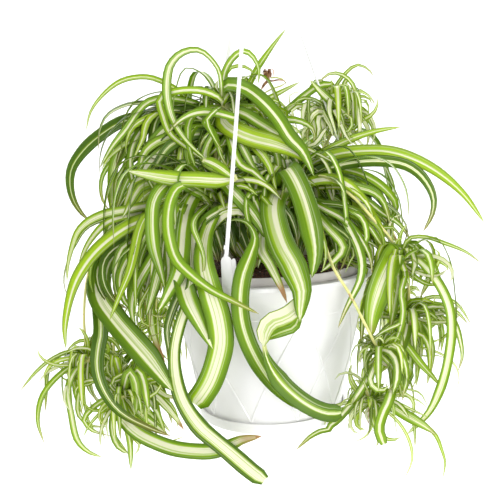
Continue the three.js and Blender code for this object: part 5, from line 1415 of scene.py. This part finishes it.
def turnedPiece(name, profile, material, radius=turnedLook["cornerRadius"]):
    # the profile starts and ends on the axis, counter-clockwise seen with +Z up
    (_, foot), *corners, (_, top) = roundedProfile(profile, radius)
    sides = turnedLook["sides"]
    points = [fromRim(0, 0, foot)]
    for corner in corners:
        points += ringPoints(corner.x, corner.y, sides)
    points.append(fromRim(0, 0, top))
    return meshObject(name, points, ringFaces(len(corners), sides), material)


potProfile = [
    (0, -143), (64, -143), (64.5, -147.3), (68.5, -147.3), (73.3, -143.8), (73.3, -141.8), (72.1, -141),
    (72, -138), (94, -33), (95.2, -32), (103, -4.2), (109, -4.2), (109, 0), (101, 0), (92.6, -33.4),
    (70.2, -138), (69.4, -140.6), (0, -140.6),
]

# The raised lattice: each rib runs one diamond sideways over the height of the body
lattice = {"diamonds": 10, "bottom": (72, -138), "top": (94, -33), "steps": 36, "ribWidth": 1.25,
           "ribRise": 0.9, "ribSides": 10}


def latticeTree():
    tree, given, result = newTree("potLattice", {
        "Diamonds": lattice["diamonds"],
        "Steps": lattice["steps"],
        "Bottom Radius": lattice["bottom"][0] * mm,
        "Top Radius": lattice["top"][0] * mm,
        "Bottom Height": rimZ + lattice["bottom"][1] * mm,
        "Top Height": rimZ + lattice["top"][1] * mm,
        "Rib Half Width": lattice["ribWidth"] * mm,
        "Rib Rise": lattice["ribRise"] * mm,
        "Material": None,
    })
    section = roundSection(tree, lattice["ribSides"],
                           lambda cosine, sine: product(tree, sine, given["Rib Rise"]),
                           lambda cosine, sine: product(tree, cosine, given["Rib Half Width"]))
    line = addNode(tree, "GeometryNodeMeshLine", {"mode": "OFFSET"}, {"Count": given["Steps"]}).outputs[0]
    share = mathNode(tree, "DIVIDE", indexOf(tree), mathNode(tree, "SUBTRACT", given["Steps"], 1.0))
    spacing = mathNode(tree, "DIVIDE", 2 * math.pi, given["Diamonds"])

    def upTheWall(bottom, top):
        return mathNode(tree, "MULTIPLY_ADD", share, mathNode(tree, "SUBTRACT", top, bottom), bottom)

    radius = upTheWall(given["Bottom Radius"], given["Top Radius"])
    height = upTheWall(given["Bottom Height"], given["Top Height"])
    pair = []
    for hand in (1.0, -1.0):
        turn = product(tree, product(tree, share, spacing), hand)
        spot = placeOf(tree, product(tree, radius, mathNode(tree, "COSINE", turn)),
                       product(tree, radius, mathNode(tree, "SINE", turn)), height)
        pair.append(changed(tree, "SetPosition", line, {"Position": spot}))
    around = addNode(tree, "GeometryNodeMeshLine", {"mode": "OFFSET"},
                     {"Count": given["Diamonds"], "Offset": (0, 0, 0)}).outputs[0]
    angle = product(tree, indexOf(tree), spacing)
    copies = addNode(tree, "GeometryNodeInstanceOnPoints", None, {
        "Points": around, "Instance": joined(tree, *pair), "Rotation": placeOf(tree, 0, 0, angle)}).outputs[0]
    ribs = changed(tree, "RealizeInstances", copies)
    outward = vectorMath(tree, "MULTIPLY", addNode(tree, "GeometryNodeInputPosition").outputs[0], (1, 1, 0))
    facing = vectorMath(tree, "NORMALIZE", outward, (0, 0, 0))
    tubes = sweptAlong(tree, ribs, facing, {"Profile Curve": section})
    smooth = changed(tree, "SetShadeSmooth", changed(tree, "RealizeInstances", tubes))
    both = joined(tree, smooth, given["Geometry"])
    tree.links.new(changed(tree, "SetMaterial", both, {"Material": given["Material"]}), result)
    return tree


pot = withTree(turnedPiece("potShell", potProfile, whitePlastic), latticeTree(), {"Material": whitePlastic})
place(pot, "white_plastic", "pot")

innerPot = turnedPiece("innerPot", [
    (0, -140.3), (67, -140.3), (90, -33), (94.6, -3), (98, -1), (98, 7.5), (96, 7.5), (93.2, -3), (88.5, -33),
    (65.4, -138.8), (0, -138.8)], innerPlastic, 0.5)
place(innerPot, "inner_plastic", "nursery_pot")

saucer = turnedPiece("dripSaucer", [
    (0, -149.4), (72.6, -149.4), (74.8, -148), (75.6, -138.6), (75, -138), (72.9, -139.4), (74.4, -141.2),
    (73.7, -147.6), (0, -147.6)], whitePlastic, 0.6)
place(saucer, "white_plastic", "saucer")
print("pot, inner pot and saucer turned")

# Soil: a lumpy surface with bark bits and a few white grains
soilLook = {
    "edge": 92.2, "top": 2, "fall": 4.5, "rings": 46, "sides": 150, "lump": 1.8, "lumpScale": 55,
    "roughness": 0.8, "lacunarity": 2.2, "octaves": 4, "calmEdge": 4,
    "under": [(92.2, -4), (87.9, -33), (64.8, -138.5)], "bottom": -138.5,
    "bark": 4800, "barkSize": (0.8, 2.4), "barkFlat": (1.0, 0.55, 0.4),
    "grains": 160, "grainSize": (0.4, 1.0), "grainFlat": (1.0, 0.9, 0.8), "seed": 31, "grainSeedShift": 5,
    "lowest": -6, "mostTilt": 0.5, "spread": 0.092,
}


def soilMesh():
    edge, sides, rings = soilLook["edge"], soilLook["sides"], soilLook["rings"]
    points = [fromRim(0, 0, soilLook["top"])]
    for ring in range(1, rings + 1):
        radius = edge * ring / rings
        calm = min(1, (edge - radius) / soilLook["calmEdge"])
        for spot in ringPoints(radius, soilLook["top"] - soilLook["fall"] * (radius / edge) ** 2, sides):
            lump = noise.fractal(spot * soilLook["lumpScale"], soilLook["roughness"], soilLook["lacunarity"],
                                 soilLook["octaves"]) * calm
            points.append(spot + Vector((0, 0, lump * soilLook["lump"] * mm)))
    for radius, height in soilLook["under"]:
        points += ringPoints(radius, height, sides)
    points.append(fromRim(0, 0, soilLook["bottom"]))
    faces = ringFaces(rings + len(soilLook["under"]), sides)
    # the rings run downwards here, so the faces are turned round
    return meshObject("pottingMix", points, [(face[0], *face[:0:-1]) for face in faces], peat)


def grainTree():
    tree, given, result = newTree("soilGrains", {
        "Bark Density": 0.0, "Grain Density": 0.0,
        "Seed": soilLook["seed"],
        "Bark Material": None, "Grain Material": None, "Lowest": rimZ + soilLook["lowest"] * mm,
    })
    height = addNode(tree, "ShaderNodeSeparateXYZ", None,
                     {0: addNode(tree, "GeometryNodeInputPosition").outputs[0]}).outputs[2]
    onTop = addNode(tree, "FunctionNodeCompare", {"data_type": "FLOAT", "operation": "GREATER_THAN"},
                    {0: height, 1: given["Lowest"]}).outputs[0]
    parts = [given["Geometry"]]
    kinds = (("Bark Density", "Bark Material", soilLook["barkSize"], soilLook["barkFlat"], 0),
             ("Grain Density", "Grain Material", soilLook["grainSize"], soilLook["grainFlat"],
              soilLook["grainSeedShift"]))
    tilt = soilLook["mostTilt"]
    for density, look, sizes, flat, shift in kinds:
        seed = mathNode(tree, "ADD", given["Seed"], shift)
        spread = addNode(tree, "GeometryNodeDistributePointsOnFaces", {"distribute_method": "RANDOM"}, {
            "Mesh": given["Geometry"], "Selection": onTop, "Density": given[density], "Seed": seed})
        bit = addNode(tree, "GeometryNodeMeshIcoSphere", None, {"Radius": mm, "Subdivisions": 1}).outputs[0]
        bit = changed(tree, "Transform", bit, {"Scale": flat})
        turn = addNode(tree, "FunctionNodeRandomValue", {"data_type": "FLOAT_VECTOR"},
                       {0: (-tilt, -tilt, 0), 1: (tilt, tilt, 2 * math.pi), "Seed": seed}).outputs[0]
        scale = addNode(tree, "FunctionNodeRandomValue", {"data_type": "FLOAT"},
                        {2: sizes[0], 3: sizes[1], "Seed": mathNode(tree, "ADD", seed, 1.0)}).outputs[1]
        copies = addNode(tree, "GeometryNodeInstanceOnPoints", None, {
            "Points": spread.outputs["Points"], "Instance": bit, "Rotation": turn, "Scale": scale}).outputs[0]
        whole = changed(tree, "RealizeInstances", copies)
        parts.append(changed(tree, "SetMaterial", whole, {"Material": given[look]}))
    tree.links.new(joined(tree, *parts), result)
    return tree


topArea = math.pi * soilLook["spread"] ** 2
soil = withTree(soilMesh(), grainTree(), {
    "Bark Density": soilLook["bark"] / topArea, "Grain Density": soilLook["grains"] / topArea,
    "Bark Material": bark, "Grain Material": whiteGrain})
place(soil, "soil", "soil")
print("soil filled")

# Hanger: hook, slotted plate and three flat strands with a clip over the rim

hanger = {
    "plateRadius": 13, "plateTop": -40, "plateThickness": 5, "hookRadius": 14, "bar": 3, "apexDrop": 45,
    "barShare": 0.93, "barSides": 16, "barSteps": 64, "tipShares": (0.55, 0.86, 1.0), "slotGap": 1,
    "strandWidth": 3.6, "strandThickness": 1.5, "strandTop": 8, "headWidth": 7, "headHeight": 2.4,
    "paddleWidth": 10, "paddleThickness": 1.8, "paddleTop": 32, "paddleBottom": -12, "ribThickness": 1.2,
    "outer": 109.5, "outerGap": 0.9, "clipWidth": 6, "clipEdge": 0.2, "edge": 0.35, "bandLow": 4,
    "bandHigh": 3, "neckHeight": 11, "neckUp": 4.5, "headUp": 1.5, "slotDepth": 20,
    "hookFoot": [(0, 7), (4, 15)], "hookTurns": range(-20, 201, 20),
    "angles": {"front": -20, "right": 100, "back": -140},
}


def bevelledPlate(outline, thickness, edge):
    # an outline in X and Z, given its thickness along +Y, with softened edges
    solid = bmesh.new()
    face = solid.faces.new([solid.verts.new((x * mm, 0, z * mm)) for x, z in outline])
    grown = bmesh.ops.extrude_face_region(solid, geom=[face])
    moved = [v for v in grown["geom"] if isinstance(v, bmesh.types.BMVert)]
    bmesh.ops.translate(solid, verts=moved, vec=(0, thickness * mm, 0))
    bmesh.ops.recalc_face_normals(solid, faces=solid.faces)
    bmesh.ops.bevel(solid, geom=solid.edges[:], offset=edge * mm, segments=2, profile=0.5, affect="EDGES",
                    clamp_overlap=True)
    return solid


def collect(name, solids, material):
    # one mesh of the solids, with corners and faces in an order that is the same in each run
    points, faces = [], []
    for solid in solids:
        corners = sorted(solid.verts, key=lambda v: tuple(v.co))
        numbers = {v: len(points) + i for i, v in enumerate(corners)}
        rings = [[numbers[v] for v in face.verts] for face in solid.faces]
        faces += sorted(ring[ring.index(min(ring)):] + ring[:ring.index(min(ring))] for ring in rings)
        points += [v.co.copy() for v in corners]
        solid.free()
    return meshObject(name, points, faces, material)


def box(width, depth, height, centre):
    half = [width / 2, height / 2]
    outline = [(-half[0], -half[1]), (half[0], -half[1]), (half[0], half[1]), (-half[0], half[1])]
    solid = bevelledPlate(outline, depth, hanger["edge"])
    bmesh.ops.translate(solid, verts=solid.verts, vec=Vector(centre) * mm - Vector((0, depth / 2 * mm, 0)))
    return solid


def strandPiece(name, angle):
    half, outer, top = hanger["paddleWidth"] / 2, hanger["outer"], hanger["paddleTop"]
    bottom, edge = hanger["paddleBottom"], hanger["edge"]
    wide, thick = hanger["strandWidth"], hanger["strandThickness"]
    paddle = bevelledPlate([
        (-half, top - 7), (-half, 0), (-0.8, bottom), (0.8, bottom), (half, 0), (half, top - 7),
        (half - 0.6, top - 4.4), (half - 2, top - 3), (1.8, top - 2.2), (1.8, top), (-1.8, top),
        (-1.8, top - 2.2), (-half + 2, top - 3), (-half + 0.6, top - 4.4)], hanger["paddleThickness"], edge)
    rib = bevelledPlate([
        (-half + 0.6, top - 6), (-half - 1, top - 4.4), (-half - 2.4, top - 4), (-half - 3.5, top - 5.4),
        (-half - 4, top - 8), (-half - 3.6, bottom), (-half + 0.6, bottom + 1)], hanger["ribThickness"], edge)
    for solid in (paddle, rib):
        bmesh.ops.translate(solid, verts=solid.verts, vec=(0, outer * mm, 0))
    back = outer + hanger["outerGap"]
    clip = bevelledPlate([  # over the pot's lip, drawn from the side
        (back, 0.5), (back, 2.4), (99.2, 2.4), (98.4, -4), (99.4, -4), (100.4, 0.5)],
        hanger["clipWidth"], hanger["clipEdge"])
    bmesh.ops.transform(clip, verts=clip.verts, matrix=Matrix(
        ((0, 1, 0, -hanger["clipWidth"] / 2 * mm), (1, 0, 0, 0), (0, 0, 1, 0), (0, 0, 0, 1))))
    bmesh.ops.recalc_face_normals(clip, faces=clip.faces)
    low = Vector((0, back, top - hanger["bandLow"]))
    high = Vector((0, hanger["strandTop"], -rimZ / mm - hanger["apexDrop"] - hanger["bandHigh"]))
    along = high - low
    band = box(wide, thick, along.length + thick, (0, 0, 0))
    up, side = along.normalized(), Vector((1, 0, 0))
    turned = Matrix((side, up.cross(side), up)).transposed().to_4x4()
    bmesh.ops.transform(band, verts=band.verts, matrix=Matrix.Translation((low + high) / 2 * mm) @ turned)
    neck = box(wide, thick, hanger["neckHeight"], (0, hanger["strandTop"], high.z + hanger["neckUp"]))
    head = box(hanger["headWidth"], wide, hanger["headHeight"],
               (0, hanger["strandTop"], -rimZ / mm + hanger["plateTop"] + hanger["headUp"]))
    turn = math.radians(angle)
    outward = Vector((math.sin(turn), -math.cos(turn), 0))
    sideways = Vector((-math.cos(turn), -math.sin(turn), 0))
    frameAt = Matrix((sideways, outward, Vector((0, 0, 1)))).transposed().to_4x4()
    frameAt.translation = Vector((0, 0, rimZ))
    solids = [paddle, rib, clip, band, neck, head]
    for solid in solids:
        bmesh.ops.transform(solid, verts=solid.verts, matrix=frameAt)
    return collect(name, solids, strandPlasticPaintedLight)


for name, angle in hanger["angles"].items():
    place(strandPiece("strand" + name.capitalize(), angle), "white_plastic", "hanger_strand_" + name)


def hookPiece():
    bend, level = hanger["hookRadius"], Vector((0, 1, 0))
    top, bottom = hanger["plateTop"], hanger["plateTop"] - hanger["plateThickness"]
    foot, centre = (top + bottom) / 2, hanger["bar"] - bend
    route = [(0, 0, foot)] + [(x, 0, foot + up) for x, up in hanger["hookFoot"]]
    for degrees in hanger["hookTurns"]:
        turn = math.radians(degrees)
        route.append((bend * math.cos(turn), 0, centre + bend * math.sin(turn)))
    path, _ = evenPath([Vector(p) * mm for p in route], hanger["barSteps"])
    sides = hanger["barSides"]
    points, faces = [], []
    for i, (spot, along) in enumerate(zip(path, tangentsOf(path))):
        up = along.cross(level).normalized()
        near = min(len(path) - 1 - i, 2)  # the tip is rounded
        bar = hanger["bar"] * hanger["barShare"] * mm * hanger["tipShares"][near]
        for side in range(sides):
            turn = side / sides * 2 * math.pi
            points.append(spot + (level * math.cos(turn) + up * math.sin(turn)) * bar)
    for ring in range(len(path) - 1):
        for side in range(sides):
            after = (side + 1) % sides
            a, b = ring * sides, (ring + 1) * sides
            faces.append((a + side, b + side, b + after, a + after))
    faces.append(tuple(range(sides)))
    faces.append(tuple(len(points) - 1 - side for side in range(sides)))
    hook = meshObject("hangerHook", points, faces, whitePlastic)
    shift, radius = -rimZ / mm, hanger["plateRadius"]
    plate = turnedPiece("hookPlate", [
        (0, bottom + shift), (radius, bottom + shift), (radius, top + shift), (0, top + shift)], whitePlastic)
    cutters = []
    for angle in hanger["angles"].values():
        slot = box(hanger["strandWidth"] + hanger["slotGap"], hanger["strandThickness"] + hanger["slotGap"],
                   hanger["slotDepth"], (0, hanger["strandTop"], top))
        cutter = collect("slot", [slot], whitePlastic)
        cutter.data.transform(Matrix.Rotation(math.radians(angle) + math.pi, 4, "Z"))
        cut = plate.modifiers.new("slot", "BOOLEAN")
        cut.object, cut.operation, cut.solver = cutter, "DIFFERENCE", "EXACT"
        cutters.append(cutter)
    flattened(plate)
    for cutter in cutters:
        bpy.data.objects.remove(cutter)
    whole = bmesh.new()
    whole.from_mesh(hook.data)
    whole.from_mesh(plate.data)
    whole.to_mesh(hook.data)
    whole.free()
    bpy.data.objects.remove(plate)
    return hook


place(hookPiece(), "white_plastic", "hanger_hook")
print("hanger made")

# Stage: a pale sweep under and behind, and broad soft light
stage = {
    "floor": -1.25, "wall": 2.4, "halfWidth": 4.0, "front": -3.0, "top": 3.2, "bend": 0.9, "bendSteps": 16,
    "paint": (0.93, 0.93, 0.93, 1), "lightPaint": (0.95, 0.95, 0.95, 1), "paintScale": 3,
    "roughness": 0.9, "world": 0.69,
}
lamps = {  # place, size, watts and what it is aimed at
    "keyLight": ((-1.1, -1.5, 0.9), 1.0, 15, (0, 0, -0.35)),
    "fillLight": ((0.6, -2.2, -0.3), 1.4, 13, (0, 0, -0.4)),
    "sideLight": ((1.7, -1.2, -0.5), 1.2, 21, (0.05, 0, -0.42)),
    "backLight": ((0.3, 1.5, 0.8), 1.2, 7, (0, 0, -0.35)),
    "wallLampLeft": ((-1.6, 0.9, 1.6), 1.0, 34, (-0.6, 2.0, -0.7)),
    "wallLampRight": ((1.6, 0.9, 1.6), 1.0, 34, (0.6, 2.0, -0.7)),
}


def addSweep():
    profile = [(stage["front"], stage["floor"])]
    for i in range(stage["bendSteps"] + 1):
        turn = i / stage["bendSteps"] * math.pi / 2
        profile.append((stage["wall"] - stage["bend"] * (1 - math.sin(turn)),
                        stage["floor"] + stage["bend"] * (1 - math.cos(turn))))
    profile.append((stage["wall"], stage["top"]))
    points = [(x, y, z) for y, z in profile for x in (-stage["halfWidth"], stage["halfWidth"])]
    faces = [(2 * i, 2 * i + 1, 2 * i + 3, 2 * i + 2) for i in range(len(profile) - 1)]
    material, tree, principled = newMaterial("sweepPaint")
    cloud = noiseValue(tree, objectPlace(tree), stage["paintScale"])
    setInputs(tree, principled, {
        "Base Color": mixColour(tree, cloud, stage["paint"], stage["lightPaint"]),
        "Roughness": stage["roughness"]})
    meshObject("sweep", points, faces, material)


def addSoftLight(name, where, size, watts, aim):
    light = bpy.data.lights.new(name, "AREA")
    light.shape, light.size, light.energy = "DISK", size, watts
    lamp = newObject(name, light)
    turned = (Vector(aim) - Vector(where)).to_track_quat("-Z", "Y").to_matrix().to_4x4()
    lamp.matrix_world = Matrix.Translation(where) @ turned


def addWorld():
    world = bpy.data.worlds.new("studio")
    world.use_nodes = True
    setInputs(world.node_tree, world.node_tree.nodes["Background"],
              {"Color": (1, 1, 1, 1), "Strength": stage["world"]})
    bpy.context.scene.world = world


addSweep()
for name, lamp in lamps.items():
    addSoftLight(name, *lamp)
addWorld()
bpy.context.scene.view_settings.view_transform = "Standard"
print("stage lit")
